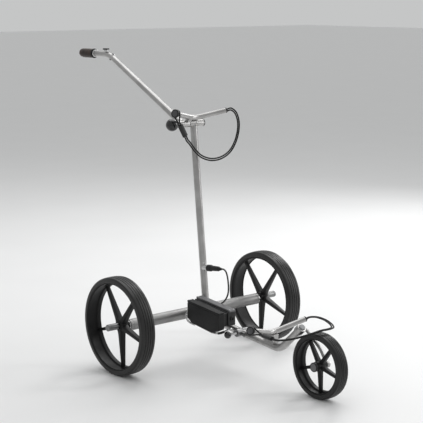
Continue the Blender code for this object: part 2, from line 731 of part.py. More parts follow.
LOWER_STRAND = [
    (0.1300, AXLE_Y - 0.4130, 0.1870),
    (0.1250, AXLE_Y - 0.4500, 0.1870),
    (0.1070, AXLE_Y - 0.4870, 0.1880),
    (0.0840, AXLE_Y - 0.5190, 0.1910),
    (0.0570, AXLE_Y - 0.5470, 0.1955),
    (0.0240, AXLE_Y - 0.5650, 0.2005),
    (-0.0080, AXLE_Y - 0.5650, 0.2010),
    (-0.0340, AXLE_Y - 0.5450, 0.1905),
    (-0.0610, AXLE_Y - 0.5100, 0.1755),
    (-0.0820, AXLE_Y - 0.4820, 0.1690),
]


def hook_turn(end, arm, sleeve, first):
    """Points round the hook's neck, from the side of the first strand to the other side."""
    centre = end + arm * HOOK_TURN_AT
    down = sleeve - centre
    down = (down - arm * down.dot(arm)).normalized()
    across = arm.cross(down)
    if across.dot(first) < 0:
        across = -across
    turn = []
    for degrees in (65, 100, 140, 180, 220, 260, 295):
        angle = math.radians(degrees)
        turn.append(centre + (down * math.cos(angle) + across * math.sin(angle)) * HOOK_TURN_RADIUS)
    return turn


def bungee_route(end, middle, strand, sleeve, along, side_of):
    """From the plug along one strand, through the sleeve, round the hook and back beside it."""
    left, right = mirrored(end, 1), mirrored(end, -1)
    arm = (left - middle).normalized()
    start = left + arm * (PLUG_REACH + JOINT_GAP + 0.0009)
    shares = (-0.9, -0.62, -0.3, 0.0, 0.3, 0.62, 0.82)
    inside = [sleeve + along * (SLEEVE_LENGTH * share) for share in shares]
    line = [start, start + arm * 0.0115, *[Vector(p) for p in strand], *inside]
    sides = []
    for i in range(len(line)):
        run = line[min(i + 1, len(line) - 1)] - line[max(i - 1, 0)]
        sides.append(run.cross(Vector(side_of)).normalized() * STRAND_OFFSET)
    out = [p + s for p, s in zip(line, sides)]
    back = [p - s for p, s in zip(line, sides)]
    return [*out, *hook_turn(right, mirrored(arm, -1), inside[-1], sides[-1]), *reversed(back)]


def make_sleeve(name, centre, along, side_of):
    """An oval sleeve that both strands run through."""
    across = along.cross(Vector(side_of)).normalized()
    matrix = Matrix((across, along.cross(across), along)).transposed().to_4x4()
    matrix.translation = centre
    made = []
    shapes = (("sleeve", 0.0092, 0.0060, 1.0), ("sleeve_bore", 0.0068, 0.0036, 1.3))
    for role, wide, deep, long in shapes:
        mesh = bpy.data.meshes.new(f"{name}_{role}")
        shape = bmesh.new()
        bmesh.ops.create_cone(
            shape,
            cap_ends=True,
            segments=20,
            radius1=1.0,
            radius2=1.0,
            depth=SLEEVE_LENGTH * long,
            matrix=Matrix.Identity(4),
        )
        bmesh.ops.scale(shape, vec=Vector((wide, deep, 1)), verts=shape.verts)
        shape.to_mesh(mesh)
        shape.free()
        part = add_part(f"{name}_bungee_{role}", mesh, BLACK_PLASTIC, matrix)
        shade(part)
        made.append(part)
    boolean(made[0], as_cutter(made[1]))


def make_bungee(name, end, middle, strand, sleeve, along, side_of):
    """One length of elastic cord, doubled: both ends in the plug, the loop over the hook."""
    route = bungee_route(end, middle, strand, sleeve, along, side_of)
    wire(f"{name}_bungee", smooth_route(route, 0.0118), BUNGEE_RADIUS, CORD_BLACK, 2)
    make_sleeve(name, sleeve, along, side_of)


# ---- handle ----
def make_handle():
    """The handle with its hinge half, the upper bag cradle, the grip and the controls."""
    grip_y = HINGE.y + (GRIP_Z - HINGE.z) / math.tan(HANDLE_PITCH)
    corner = (HANDLE_X, grip_y, GRIP_Z)
    root = Vector((HANDLE_X, HINGE.y, HINGE.z))
    path = [root, root + HANDLE_ALONG * 0.2, *fillet(corner, HANDLE_ALONG, (0, 1, 0), BEND_RADIUS, 7)]
    path.append(Vector((HANDLE_X, GRIP_END_Y - 0.030, GRIP_Z)))
    narrow = HANDLE_END_RADIUS / HANDLE_RADIUS
    radii = [1.0, 0.95, *[narrow] * 8, 0.82]
    tube = bent_tube("handle_tube", path, HANDLE_RADIUS, TUBE_WALL, TITANIUM, 4, radii)
    head = along_x("handle_root_notch", BARREL_RADIUS + JOINT_GAP, -0.07, -0.015, HINGE, TITANIUM, 32)
    boolean(tube, as_cutter(head))
    barrel = along_x("handle_hinge_barrel", BARREL_RADIUS, -0.064, -0.0205, HINGE, TITANIUM, 28, STUD_BORE)
    gusset_x = -0.0262
    v_here = UPPER_V_MIDDLE.lerp(mirrored(UPPER_V_END, -1), gusset_x / -UPPER_V_END.x)
    up = Vector((0, v_here.y - HINGE.y, v_here.z - HINGE.z))
    reach = up.length
    lean = Matrix.Rotation(-math.atan2(up.y, up.z), 4, "X")
    gusset = box("hinge_gusset", (0.011, 0.014, reach - 0.009), (0, 0, 0), TITANIUM)
    place = Vector((gusset_x, HINGE.y, HINGE.z)) + up.normalized() * (0.003 + reach) / 2
    gusset.matrix_world = Matrix.Translation(place) @ lean
    arm = (mirrored(UPPER_V_END, -1), UPPER_V_MIDDLE)
    bed = rod("cradle_bed", CRADLE_RADIUS + JOINT_GAP, *arm, TITANIUM, 24)
    stud_way = along_x("stud_way", STUD_BORE, -0.08, 0, HINGE, TITANIUM, 20)
    boolean(barrel, as_cutter(gusset), "UNION")
    boolean(barrel, as_cutter(bed))
    boolean(barrel, as_cutter(stud_way))
    make_cradle("upper", UPPER_V_MIDDLE, UPPER_V_END)
    make_grip()
    make_controls(tube)


def make_grip():
    """The leather sleeve, the ring at its root and the tube's end."""
    bore = HANDLE_END_RADIUS + JOINT_GAP
    long = GRIP_END_Y - GRIP_START_Y
    profile = [
        (0.0, long),
        (0.0095, long),
        (0.0130, long - 0.0035),
        (0.0145, long - 0.010),
        (0.0148, 0.004),
        (0.0140, 0.0),
        (bore, 0.0),
        (bore, long - 0.028),
        (0.0, long - 0.028),
    ]
    turned("handle_grip", profile, LEATHER, (0, 1, 0), (HANDLE_X, GRIP_START_Y, GRIP_Z), 28)
    ring = [(bore, 0.0035), (0.0155, 0.0035), (0.0158, 0.002), (0.0150, 0.0), (bore, 0.0)]
    place = (HANDLE_X, GRIP_START_Y - 0.0038, GRIP_Z)
    turned("grip_collar", ring, BLACK_PLASTIC, (0, 1, 0), place, 28)


DIAL_Y = AXLE_Y + 0.4025
DIAL_Z = GRIP_Z + 0.0143
BUTTON_ALONG = 0.4096
BUTTON = Vector((HANDLE_X, HINGE.y, HINGE.z)) + HANDLE_ALONG * BUTTON_ALONG


def make_controls(tube):
    """The speed dial on its boss, the power button through the tube's top, and the port underneath."""
    foot = Vector((HANDLE_X, DIAL_Y, GRIP_Z + HANDLE_END_RADIUS - 0.006))
    boss = rod("dial_boss", 0.0070, foot, (HANDLE_X, DIAL_Y, DIAL_Z - JOINT_GAP), STEEL, 20)
    tube_here = ((HANDLE_X, DIAL_Y - 0.03, GRIP_Z), (HANDLE_X, DIAL_Y + 0.03, GRIP_Z))
    bed = rod("boss_bed", HANDLE_END_RADIUS + JOINT_GAP, *tube_here, STEEL, 24)
    boolean(boss, as_cutter(bed))
    dial = [(0, 0.0048), (0.0100, 0.0048), (0.0112, 0.0036), (0.0112, 0.0), (0, 0)]
    turned("speed_dial", dial, GLOSS_BLACK, (0, 0, 1), (HANDLE_X, DIAL_Y, DIAL_Z), 28)
    top = BUTTON + HANDLE_UP * 0.0118
    rod("power_button", 0.0038, BUTTON + HANDLE_UP * 0.0045, top, BLACK_PLASTIC, 16)
    hole = rod("button_hole", 0.0042, BUTTON, BUTTON + HANDLE_UP * 0.02, TITANIUM, 20)
    boolean(tube, as_cutter(hole))
    port_ends = (BUTTON - HANDLE_UP * 0.0048, BUTTON - HANDLE_UP * 0.0125)
    port = rod("charging_port", 0.0040, *port_ends, BLACK_PLASTIC, 16)
    port_hole = rod("port_hole", 0.0043, BUTTON, BUTTON - HANDLE_UP * 0.02, TITANIUM, 20)
    boolean(tube, as_cutter(port_hole))
    port.location += HANDLE_ALONG * 0.004
    port_hole.location += HANDLE_ALONG * 0.004


# ---- clamp knobs ----
def make_clamp(name, centre, knob_x, knob_radius, end_x):
    """A threaded stud through both eyes of a hinge, and the ball knob that draws them together."""
    stud_x = knob_x + knob_radius * 0.45
    along_x(f"{name}_clamp_stud", STUD_RADIUS, stud_x, end_x, centre, STEEL, 18)
    knob = ball(f"{name}_clamp_knob", knob_radius, (knob_x, centre.y, centre.z), GLOSS_BLACK)
    bore_ends = (stud_x - JOINT_GAP, knob_x + knob_radius * 1.2)
    bore = along_x(f"{name}_knob_bore", STUD_RADIUS + JOINT_GAP, *bore_ends, centre, STEEL, 18)
    boolean(knob, as_cutter(bore))


make_axle()
make_boom()
make_mast()
make_power_unit()
make_tray()
make_power_lead()
make_rear_wheel("right", -1)
make_rear_wheel("left", 1)
make_front_boom()
make_front_wheel()
make_handle()
make_bungee("upper", UPPER_V_END, UPPER_V_MIDDLE, UPPER_STRAND, UPPER_SLEEVE, UPPER_SLEEVE_ALONG, UPPER_SIDE)
make_bungee("lower", LOWER_V_END, LOWER_V_MIDDLE, LOWER_STRAND, LOWER_SLEEVE, LOWER_SLEEVE_ALONG, LOWER_SIDE)
make_clamp("upper", HINGE, -0.084, 0.0195, 0.0355)
make_clamp("lower", FOLD, -0.055, 0.011, 0.0215)
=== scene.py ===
"""The looks of an electric golf trolley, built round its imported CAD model.

Frame: +Z up, the front of the trolley towards -Y, the driver's right-hand side towards -X. Metres.
"""

import math

import bmesh
import bpy
from mathutils import Matrix, Vector


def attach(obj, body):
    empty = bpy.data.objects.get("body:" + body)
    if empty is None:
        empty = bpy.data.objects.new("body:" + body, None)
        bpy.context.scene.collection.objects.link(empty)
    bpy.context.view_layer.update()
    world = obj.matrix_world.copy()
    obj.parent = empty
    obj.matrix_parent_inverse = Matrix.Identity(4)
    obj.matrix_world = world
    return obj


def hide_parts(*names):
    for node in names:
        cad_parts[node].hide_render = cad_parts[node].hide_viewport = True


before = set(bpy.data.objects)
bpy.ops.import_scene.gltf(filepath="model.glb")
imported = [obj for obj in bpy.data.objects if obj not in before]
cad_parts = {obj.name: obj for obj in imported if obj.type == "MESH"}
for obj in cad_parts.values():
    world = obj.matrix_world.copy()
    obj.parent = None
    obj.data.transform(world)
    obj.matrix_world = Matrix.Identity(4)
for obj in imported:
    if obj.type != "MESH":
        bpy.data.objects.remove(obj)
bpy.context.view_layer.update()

# ---- sizes and places, as in the CAD model ----
REAR_RADIUS = 0.15
REAR_RIM_INNER = 0.127
REAR_WIDTH = 0.0515
TRACK_HALF = 0.296
REAR_HUB = (0.0165, 0.2675 - TRACK_HALF, 0.3005 - TRACK_HALF)
REAR_BLADE = ((0.014, -0.019, 0.001), (0.008, -0.019, -0.0084))
RELEASE_FOOT = 0.3012
AXLE_END = 0.3405
AXLE_Y = 0.0545
FRONT_RADIUS = 0.0959
FRONT_RIM_INNER = 0.0746
FRONT_WIDTH = 0.0396
FRONT_HUB = (0.014, -0.02, 0.0182)
FRONT_BLADE = ((0.0118, -0.0081, 0.0057), (0.0072, -0.0105, 0.0003))
FRONT_AXLE = Vector((0, FRONT_RADIUS - 0.5975, FRONT_RADIUS))
FRONT_RELEASE_X = -0.019

AXLE_TUBE_RADIUS = 0.0175
AXLE_TUBE_HALF = 0.262
MOTOR_Z = REAR_RADIUS - 0.004
TUBE_RADIUS = 0.011
BOOM_PITCH = math.radians(5.5)
MAST_LEAN = math.radians(5.95)
MAST_LENGTH = 0.6037
HUB_BORE = 0.0053
BARREL_RADIUS = 0.011
EYE_RADIUS = 0.012
STUD_RADIUS = 0.004
STUD_BORE = 0.0045
CRADLE_RADIUS = 0.008
CRADLE_BEND = 0.07
BUNGEE_RADIUS = 0.00225
LEAD_RADIUS = 0.0025
JOINT_GAP = 0.0003

HANDLE_X = -0.043
HANDLE_PITCH = math.radians(27.7)
HANDLE_RADIUS = 0.0107
HANDLE_END_RADIUS = 0.0093
HANDLE_BEND = 0.1
GRIP_Z = 0.94
GRIP_START_Y = AXLE_Y + 0.4715
GRIP_END_Y = 0.5975
DIAL_Y = AXLE_Y + 0.4025
DIAL_Z = GRIP_Z + 0.0143


def boom_point(y, height=0.0, x=0.0):
    """A point over the boom's centre line, that high above it along its normal."""
    z = MOTOR_Z + (y - AXLE_Y) * math.tan(BOOM_PITCH)
    return Vector((x, y - height * math.sin(BOOM_PITCH), z + height * math.cos(BOOM_PITCH)))


MAST_FOOT = boom_point(AXLE_Y - 0.0565)
FOLD = boom_point(AXLE_Y - 0.2205)
BEND = boom_point(AXLE_Y - 0.392)
HEAD = Vector((0, AXLE_Y - 0.472, 0.183))
RISER_UP = (HEAD - BEND).normalized()
BOOM_BACK = Vector((0, math.cos(BOOM_PITCH), math.sin(BOOM_PITCH)))
BOOM_UP = Vector((0, -math.sin(BOOM_PITCH), math.cos(BOOM_PITCH)))
MAST_UP = Vector((0, math.sin(MAST_LEAN), math.cos(MAST_LEAN)))
MAST_FRONT = Vector((0, -math.cos(MAST_LEAN), math.sin(MAST_LEAN)))
HINGE = MAST_FOOT + MAST_UP * MAST_LENGTH
HANDLE_ROOT = Vector((HANDLE_X, HINGE.y, HINGE.z))
HANDLE_ALONG = Vector((0, math.cos(HANDLE_PITCH), math.sin(HANDLE_PITCH)))
HANDLE_UP = Vector((0, -math.sin(HANDLE_PITCH), math.cos(HANDLE_PITCH)))
BUTTON = HANDLE_ROOT + HANDLE_ALONG * 0.4096
UPPER_V_END = Vector((0.096, AXLE_Y - 0.0344, 0.778))
UPPER_V_MIDDLE = Vector((0, AXLE_Y + 0.005, 0.757))
LOWER_V_END = Vector((0.1045, AXLE_Y - 0.387, 0.18))
LOWER_V_MIDDLE = Vector((0, AXLE_Y - 0.357, 0.1515))
SOCKET = MAST_FOOT + MAST_UP * 0.1547
PLUG_FACE = 0.0243
PLUG_LENGTH = 0.064
BRACKET_TOP = 0.038
PAD_OFFSET = 0.023
PAD_HEIGHT = 0.002
PLUG_REACH = 0.0055
GLAND = Vector((-0.0088, AXLE_Y - 0.098, 0.1955))
X_AXIS = Vector((1, 0, 0))

# ---- camera ----
camera = bpy.data.objects.new("camera", bpy.data.cameras.new("camera"))
bpy.context.scene.collection.objects.link(camera)
camera.location = (-2.457, -2.9288, 1.136)
camera.rotation_mode = "QUATERNION"
look_at = Vector((0.0394, 0.0211, 0.4658))
camera.rotation_quaternion = (look_at - camera.location).to_track_quat("-Z", "Y")
camera.data.lens = 107.12
camera.data.sensor_width = 36.0
bpy.context.scene.camera = camera


# ---- routes ----
def mirrored(point, side):
    return Vector((point.x * side, point.y, point.z))


def fillet(corner, before, after, radius, steps=12):
    """Points of an arc that rounds the corner between two directions."""
    corner, before, after = Vector(corner), Vector(before).normalized(), Vector(after).normalized()
    turn = before.angle(after)
    start = corner - before * radius * math.tan(turn / 2)
    inward = (after - before * before.dot(after)).normalized()
    points = []
    for i in range(steps + 1):
        angle = turn * i / steps
        points.append(start + (before * math.sin(angle) + inward * (1 - math.cos(angle))) * radius)
    return points


def smooth_route(route, spacing):
    """Evenly spaced points on a Catmull-Rom curve through the route's points."""
    p = [Vector(q) for q in route]
    p = [p[0] * 2 - p[1], *p, p[-1] * 2 - p[-2]]
    fine = []
    for a, b, c, d in zip(p, p[1:], p[2:], p[3:]):
        for i in range(24):
            t = i / 24
            line = 2 * b + (c - a) * t
            square = (2 * a - 5 * b + 4 * c - d) * t**2
            cube = (3 * b - a - 3 * c + d) * t**3
            fine.append((line + square + cube) / 2)
    fine.append(p[-2])
    length = sum((b - a).length for a, b in zip(fine, fine[1:]))
    count = max(2, round(length / spacing))
    out, walked, target = [fine[0]], 0.0, length / count
    for a, b in zip(fine, fine[1:]):
        step = (b - a).length
        while walked + step >= target and len(out) < count:
            out.append(a.lerp(b, (target - walked) / step))
            target += length / count
        walked += step
    return [*out, fine[-1]]


# ---- mesh makers ----
def mm(*points):
    """Points in millimetres, as metres."""
    return [(x / 1000, y / 1000) for x, y in points]


def loft(rings, along, girth, cap_start=True, cap_end=True, looped=False):
    """Skin over rings of equal count. Its UV map is in metres: round the ring, then along it."""
    shape = bmesh.new()
    uv = shape.loops.layers.uv.new("metres")
    made = [[shape.verts.new(p) for p in ring] for ring in rings]
    count = len(rings[0])
    pairs = [(i, i + 1) for i in range(len(rings) - 1)]
    if looped:
        pairs.append((len(rings) - 1, 0))
    for i, j in pairs:
        far = along[j] if j else along[i] + (along[i] - along[i - 1])
        for k in range(count):
            n = (k + 1) % count
            face = shape.faces.new((made[i][k], made[i][n], made[j][n], made[j][k]))
            places = ((k, along[i]), (k + 1, along[i]), (k + 1, far), (k, far))
            for corner, (turn, reach) in zip(face.loops, places):
                corner[uv].uv = (girth * turn / count, reach)
    if not looped and cap_start:
        shape.faces.new(list(reversed(made[0])))
    if not looped and cap_end:
        shape.faces.new(made[-1])
    return shape


def circle(centre, across, up, radius, steps, squeeze=1.0):
    ring = []
    for i in range(steps):
        angle = 2 * math.pi * i / steps
        ring.append(centre + across * math.cos(angle) * radius + up * math.sin(angle) * radius * squeeze)
    return ring


def distances(points):
    out = [0.0]
    for a, b in zip(points, points[1:]):
        out.append(out[-1] + (b - a).length)
    return out


def pipe(points, radius, steps=32, chamfer=0.0006, squeeze=1.0, side=None, looped=False):
    """A solid round bar along its points. The radius is one number, or one for each point."""
    points = [Vector(p) for p in points]
    radii = list(radius) if isinstance(radius, (list, tuple)) else [radius] * len(points)
    if chamfer and not looped:
        first, last = (points[1] - points[0]).normalized(), (points[-1] - points[-2]).normalized()
        points = [
            points[0], points[0] + first * chamfer, *points[1:-1], points[-1] - last * chamfer,
            points[-1],
        ]
        radii = [radii[0] - chamfer, radii[0], *radii[1:-1], radii[-1], radii[-1] - chamfer]
    rings = []
    across = None
    for i, point in enumerate(points):
        if looped:
            run = points[(i + 1) % len(points)] - points[i - 1]
        else:
            run = points[min(i + 1, len(points) - 1)] - points[max(i - 1, 0)]
        run.normalize()
        if across is None:
            across = Vector(side) if side else run.orthogonal()
        across = (across - run * across.dot(run)).normalized()
        rings.append(circle(point, across, run.cross(across), radii[i], steps, squeeze))
    girth = 2 * math.pi * max(radii)
    return loft(rings, distances(points), girth, looped=looped)


def eased(profile, radius=0.0005, steps=3, looped=False):
    """The same outline with its sharp corners rounded."""
    out = []
    count = len(profile)
    for i, point in enumerate(profile):
        if not looped and i in (0, count - 1):
            out.append(point)
            continue
        here = Vector(point)
        before = Vector(profile[i - 1]) - here
        after = Vector(profile[(i + 1) % count]) - here
        if before.length < 1e-6 or after.length < 1e-6:
            out.append(point)
            continue
        turn = math.pi - before.angle(after)
        if turn < math.radians(20):
            out.append(point)
            continue
        reach = min(radius * math.tan(turn / 2), before.length * 0.45, after.length * 0.45)
        start, end = here + before.normalized() * reach, here + after.normalized() * reach
        for k in range(steps + 1):
            t = k / steps
            out.append(tuple(start * (1 - t) ** 2 + here * 2 * t * (1 - t) + end * t**2))
    return out


def lathe(profile, origin, direction, steps=64, looped=False, ease=0.0005):
    """A turned shape. The profile is (radius, height along the direction)."""
    direction = Vector(direction).normalized()
    origin = Vector(origin)
    flat = [p for p in (eased(profile, ease, looped=looped) if ease else profile) if p[0] > 1e-7]
    across = direction.orthogonal().normalized()
    up = direction.cross(across)
    rings = [circle(origin + direction * height, across, up, radius, steps) for radius, height in flat]
    along = distances([Vector(p) for p in flat])
    return loft(rings, along, 2 * math.pi * max(p[0] for p in flat), looped=looped)


def extruded(outline, x0, x1):
    """A flat outline of (y, z) points, from x0 to x1."""
    shape = bmesh.new()
    near = [shape.verts.new((x0, y, z)) for y, z in outline]
    far = [shape.verts.new((x1, y, z)) for y, z in outline]
    shape.faces.new(near)
    shape.faces.new(list(reversed(far)))
    for i in range(len(outline)):
        n = (i + 1) % len(outline)
        shape.faces.new((near[i], far[i], far[n], near[n]))
    return shape


def block(size, matrix):
    shape = bmesh.new()
    bmesh.ops.create_cube(shape, size=1.0)
    bmesh.ops.scale(shape, vec=Vector(size), verts=shape.verts)
    bmesh.ops.transform(shape, matrix=matrix, verts=shape.verts)
    return shape


def placed(origin, direction, side=None):
    """A matrix whose +Z runs along a direction and whose +X lies near a side."""
    z = Vector(direction).normalized()
    x = Vector(side) if side else z.orthogonal()
    x = (x - z * x.dot(z)).normalized()
    matrix = Matrix((x, z.cross(x), z)).transposed().to_4x4()
    matrix.translation = Vector(origin)
    return matrix


def joined(*shapes):
    """One bmesh that holds several."""
    whole = shapes[0]
    for other in shapes[1:]:
        mesh = bpy.data.meshes.new("joining")
        other.to_mesh(mesh)
        other.free()
        whole.from_mesh(mesh)
        bpy.data.meshes.remove(mesh)
    return whole


def piece(name, shape, material, body, *stands_for, sharp=38, rounding=0.0, segments=3):
    """A finished object that rides on a body and stands for CAD nodes."""
    mesh = bpy.data.meshes.new(name)
    bmesh.ops.recalc_face_normals(shape, faces=shape.faces)
    shape.to_mesh(mesh)
    shape.free()
    mesh.shade_smooth()
    mesh.set_sharp_from_angle(angle=math.radians(sharp))
    mesh.materials.append(material)
    made = bpy.data.objects.new(name, mesh)
    bpy.context.scene.collection.objects.link(made)
    if rounding:
        edge = made.modifiers.new("rounded", "BEVEL")
        edge.width = rounding
        edge.segments = segments
        edge.limit_method = "ANGLE"
        edge.angle_limit = math.radians(30)
        edge.harden_normals = True
    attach(made, body)
    if stands_for:
        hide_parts(*stands_for)
    return made


def turned(
    name, profile, origin, direction, material, body, *stands_for,
    steps=64, ease=0.0005, looped=False, **edges,
):
    """A piece that is a turned shape."""
    shape = lathe(profile, origin, direction, steps, looped, ease)
    return piece(name, shape, material, body, *stands_for, **edges)


# ---- materials ----
class Look:
    """A material being built, with short names for its nodes. Coordinates are metres at rest."""

    def __init__(self, name, **sockets):
        self.material = bpy.data.materials.new(name)
        self.material.use_nodes = True
        self.tree = self.material.node_tree
        self.shader = self.tree.nodes["Principled BSDF"]
        for socket, value in sockets.items():
            self.shader.inputs[socket.replace("_", " ").title().replace("Ior", "IOR")].default_value = value

    def node(self, kind, inputs=(), **settings):
        made = self.tree.nodes.new("ShaderNode" + kind)
        for name, value in settings.items():
            setattr(made, name, value)
        for key, value in dict(inputs).items():
            if isinstance(value, bpy.types.NodeSocket):
                self.tree.links.new(value, made.inputs[key])
            else:
                made.inputs[key].default_value = value
        return made

    def place(self, stretch=(1, 1, 1)):
        where = self.node("TexCoord").outputs["Object"]
        return self.node("Mapping", {"Vector": where, "Scale": stretch}).outputs["Vector"]

    def noise(self, where, scale, detail=3.0):
        inputs = {"Vector": where, "Scale": scale, "Detail": detail}
        return self.node("TexNoise", inputs).outputs["Fac"]

    def cells(self, where, scale, feature="F1"):
        inputs = {"Vector": where, "Scale": scale}
        return self.node("TexVoronoi", inputs, feature=feature).outputs["Distance"]

    def math(self, operation, a, b=0.0):
        return self.node("Math", {0: a, 1: b}, operation=operation).outputs[0]

    def span(self, value, low, high, out_low, out_high):
        inputs = {0: value, 1: low, 2: high, 3: out_low, 4: out_high}
        return self.node("MapRange", inputs).outputs[0]

    def mix(self, share, dark, light):
        def colour(c):
            return c if isinstance(c, bpy.types.NodeSocket) else (*c, 1.0)

        inputs = {0: share, 6: colour(dark), 7: colour(light)}
        return self.node("Mix", inputs, data_type="RGBA").outputs[2]

    def bump(self, height, depth, under=None):
        inputs = {"Height": height, "Distance": depth, "Strength": 1.0}
        if under:
            inputs["Normal"] = under
        return self.node("Bump", inputs).outputs["Normal"]

    def finish(self, colour, roughness, normal):
        self.tree.links.new(colour, self.shader.inputs["Base Color"])
        self.tree.links.new(roughness, self.shader.inputs["Roughness"])
        self.tree.links.new(normal, self.shader.inputs["Normal"])
        return self.material


def metal(name, dark, light, smooth, rough, stretch=(1, 1, 1), grain=1500.0, depth=0.000012):
    """Satin metal: cloudy roughness, faint colour change and fine grain."""
    look = Look(name, metallic=1.0)
    where = look.place()
    cloud = look.noise(where, 22.0, 4.0)
    fine = look.noise(look.place(stretch), grain, 2.0)
    smudge = look.noise(where, 75.0, 2.0)
    colour = look.mix(look.span(cloud, 0.35, 0.65, 0.0, 1.0), dark, light)
    even = look.span(look.math("ADD", look.math("MULTIPLY", cloud, 0.6), look.math("MULTIPLY", smudge, 0.4)),
                     0.35, 0.65, smooth, rough)
    return look.finish(colour, even, look.bump(fine, depth))


def moulded(name, dark, light, smooth, rough, grain=900.0, depth=0.00003, **sockets):
    """Moulded plastic or rubber: a fine pebbled skin and slightly worn, lighter edges."""
    look = Look(name, **sockets)
    where = look.place()
    pebble = look.cells(where, grain)
    cloud = look.noise(where, 30.0, 3.0)
    worn = look.span(look.node("NewGeometry").outputs["Pointiness"], 0.51, 0.58, 0.0, 0.45)
    colour = look.mix(look.span(cloud, 0.35, 0.7, 0.0, 0.6), dark, light)
    colour = look.mix(worn, colour, tuple(c * 1.6 for c in light))
    return look.finish(colour, look.span(cloud, 0.3, 0.7, smooth, rough), look.bump(pebble, depth))


def tyre_rubber():
    """Matte rubber with a faint bloom of dust and a grain finer than the ribs."""
    look = Look("ribbed_tyre_rubber", specular_ior_level=0.42)
    where = look.place()
    cloud = look.noise(where, 14.0, 5.0)
    fleck = look.noise(where, 420.0, 3.0)
    dust = look.math("MULTIPLY", look.span(cloud, 0.48, 0.72, 0.0, 1.0), look.span(fleck, 0.4, 0.7, 0.2, 1.0))
    colour = look.mix(dust, (0.009, 0.0088, 0.0088), (0.022, 0.0212, 0.0208))
    return look.finish(colour, look.span(fleck, 0.3, 0.7, 0.32, 0.46), look.bump(fleck, 0.00006))


def leather():
    """Dark brown leather with small round pores and soft creases round the grip."""
    look = Look("grip_leather", specular_ior_level=0.3)
    where = look.place()
    pores = look.cells(where, 720.0)
    crease = look.noise(look.place((1, 2.4, 1)), 95.0, 4.0)
    cloud = look.noise(where, 38.0, 3.0)
    colour = look.mix(look.span(cloud, 0.35, 0.65, 0.0, 1.0), (0.02, 0.014, 0.012), (0.058, 0.04, 0.033))
    normal = look.bump(crease, 0.0003, look.bump(pores, 0.00012))
    return look.finish(colour, look.span(pores, 0.1, 0.6, 0.62, 0.45), normal)


def braid(name, dark, light, strands, girth):
    """A woven sheath: strands cross round the cord on its UV map. Its colour is painted shade in the weave's
    hollows and painted light on the strands' crowns.
    """
    look = Look(name, specular_ior_level=0.25)
    map_node = look.node("UVMap", uv_map="metres").outputs["UV"]
    split = look.node("SeparateXYZ", {0: map_node})
    turn = 2 * math.pi * strands / girth
    rising = look.math("MULTIPLY", look.math("ADD", split.outputs[0], split.outputs[1]), turn)
    falling = look.math("MULTIPLY", look.math("SUBTRACT", split.outputs[0], split.outputs[1]), turn)
    weave = look.math("MULTIPLY", look.math("SINE", rising), look.math("SINE", falling))
    # Painted shade and light: the colour follows the weave's height, darker in the hollows between strands
    # and lighter on their crowns.
    colour = look.mix(look.span(weave, -0.6, 0.8, 0.0, 1.0), dark, light)
    return look.finish(colour, look.span(weave, -1.0, 1.0, 0.72, 0.55), look.bump(weave, 0.00012))


def battery_skin():
    """A leather-like grained black skin."""
    look = Look("battery_skin", specular_ior_level=0.3)
    where = look.place()
    cells = look.cells(where, 520.0, "SMOOTH_F1")
    fold = look.noise(where, 180.0, 4.0)
    cloud = look.noise(where, 16.0, 4.0)
    colour = look.mix(look.span(cloud, 0.35, 0.7, 0.0, 1.0), (0.006, 0.006, 0.0064), (0.015, 0.015, 0.0155))
    normal = look.bump(cells, 0.00016, look.bump(fold, 0.0001))
    return look.finish(colour, look.span(fold, 0.3, 0.7, 0.42, 0.58), normal)


def weld_metal():
    """A weld bead with straw and blue heat tints."""
    look = Look("weld_bead", metallic=1.0)
    where = look.place()
    heat = look.noise(where, 160.0, 3.0)
    ripple = look.noise(where, 900.0, 2.0)
    colour = look.mix(look.span(heat, 0.4, 0.62, 0.0, 1.0), (0.46, 0.43, 0.38), (0.4, 0.42, 0.46))
    return look.finish(colour, look.span(ripple, 0.3, 0.7, 0.26, 0.42), look.bump(ripple, 0.00008))


def floor_look():
    look = Look("pale_floor")
    where = look.place()
    cloud = look.noise(where, 3.0, 3.0)
    colour = look.mix(cloud, (0.8, 0.8, 0.8), (0.84, 0.84, 0.84))
    return look.finish(
        colour, look.span(cloud, 0.3, 0.7, 0.55, 0.62), look.bump(look.noise(where, 240.0), 0.00003),
    )


TITANIUM = metal("satin_titanium", (0.36, 0.355, 0.35), (0.46, 0.455, 0.45), 0.3, 0.4)
DARK_METAL = metal("dark_satin_metal", (0.2, 0.2, 0.2), (0.28, 0.28, 0.28), 0.3, 0.42)
AXLE_METAL = metal("axle_housing_metal", (0.27, 0.268, 0.265), (0.35, 0.348, 0.345), 0.44, 0.56)
STEEL = metal("brushed_steel", (0.55, 0.55, 0.55), (0.66, 0.66, 0.66), 0.2, 0.32, (1, 0.15, 1))
MOTOR_METAL = metal("motor_metal", (0.24, 0.24, 0.25), (0.33, 0.33, 0.34), 0.3, 0.45)
WELD = weld_metal()
BLACK = moulded("black_plastic", (0.0065, 0.0065, 0.007), (0.012, 0.012, 0.0125), 0.38, 0.5,
                specular_ior_level=0.38)
RIM_BLACK = moulded("rim_plastic", (0.0045, 0.0045, 0.0048), (0.009, 0.009, 0.0094), 0.38, 0.5, 1200.0,
                    specular_ior_level=0.25)
HOOK_FACE = moulded("hook_face_plastic", (0.055, 0.055, 0.058), (0.085, 0.085, 0.088), 0.4, 0.52, 1400.0)
GREY = moulded("grey_plastic", (0.115, 0.115, 0.12), (0.15, 0.15, 0.155), 0.34, 0.46)
PALE_GREY = moulded("cap_grey_plastic", (0.26, 0.265, 0.27), (0.33, 0.335, 0.34), 0.36, 0.48, 1400.0)
GLOSS = moulded("gloss_black", (0.006, 0.006, 0.0065), (0.009, 0.009, 0.0095), 0.1, 0.19,
                300.0, 0.000004, coat_weight=0.4, coat_roughness=0.08)
RUBBER_SLEEVE = moulded("sleeve_rubber", (0.011, 0.011, 0.011), (0.018, 0.018, 0.018), 0.5, 0.62)
CABLE = moulded("lead_jacket", (0.009, 0.009, 0.009), (0.014, 0.014, 0.014), 0.38, 0.5, 1600.0, 0.00001)
TYRE = tyre_rubber()
LEATHER = leather()
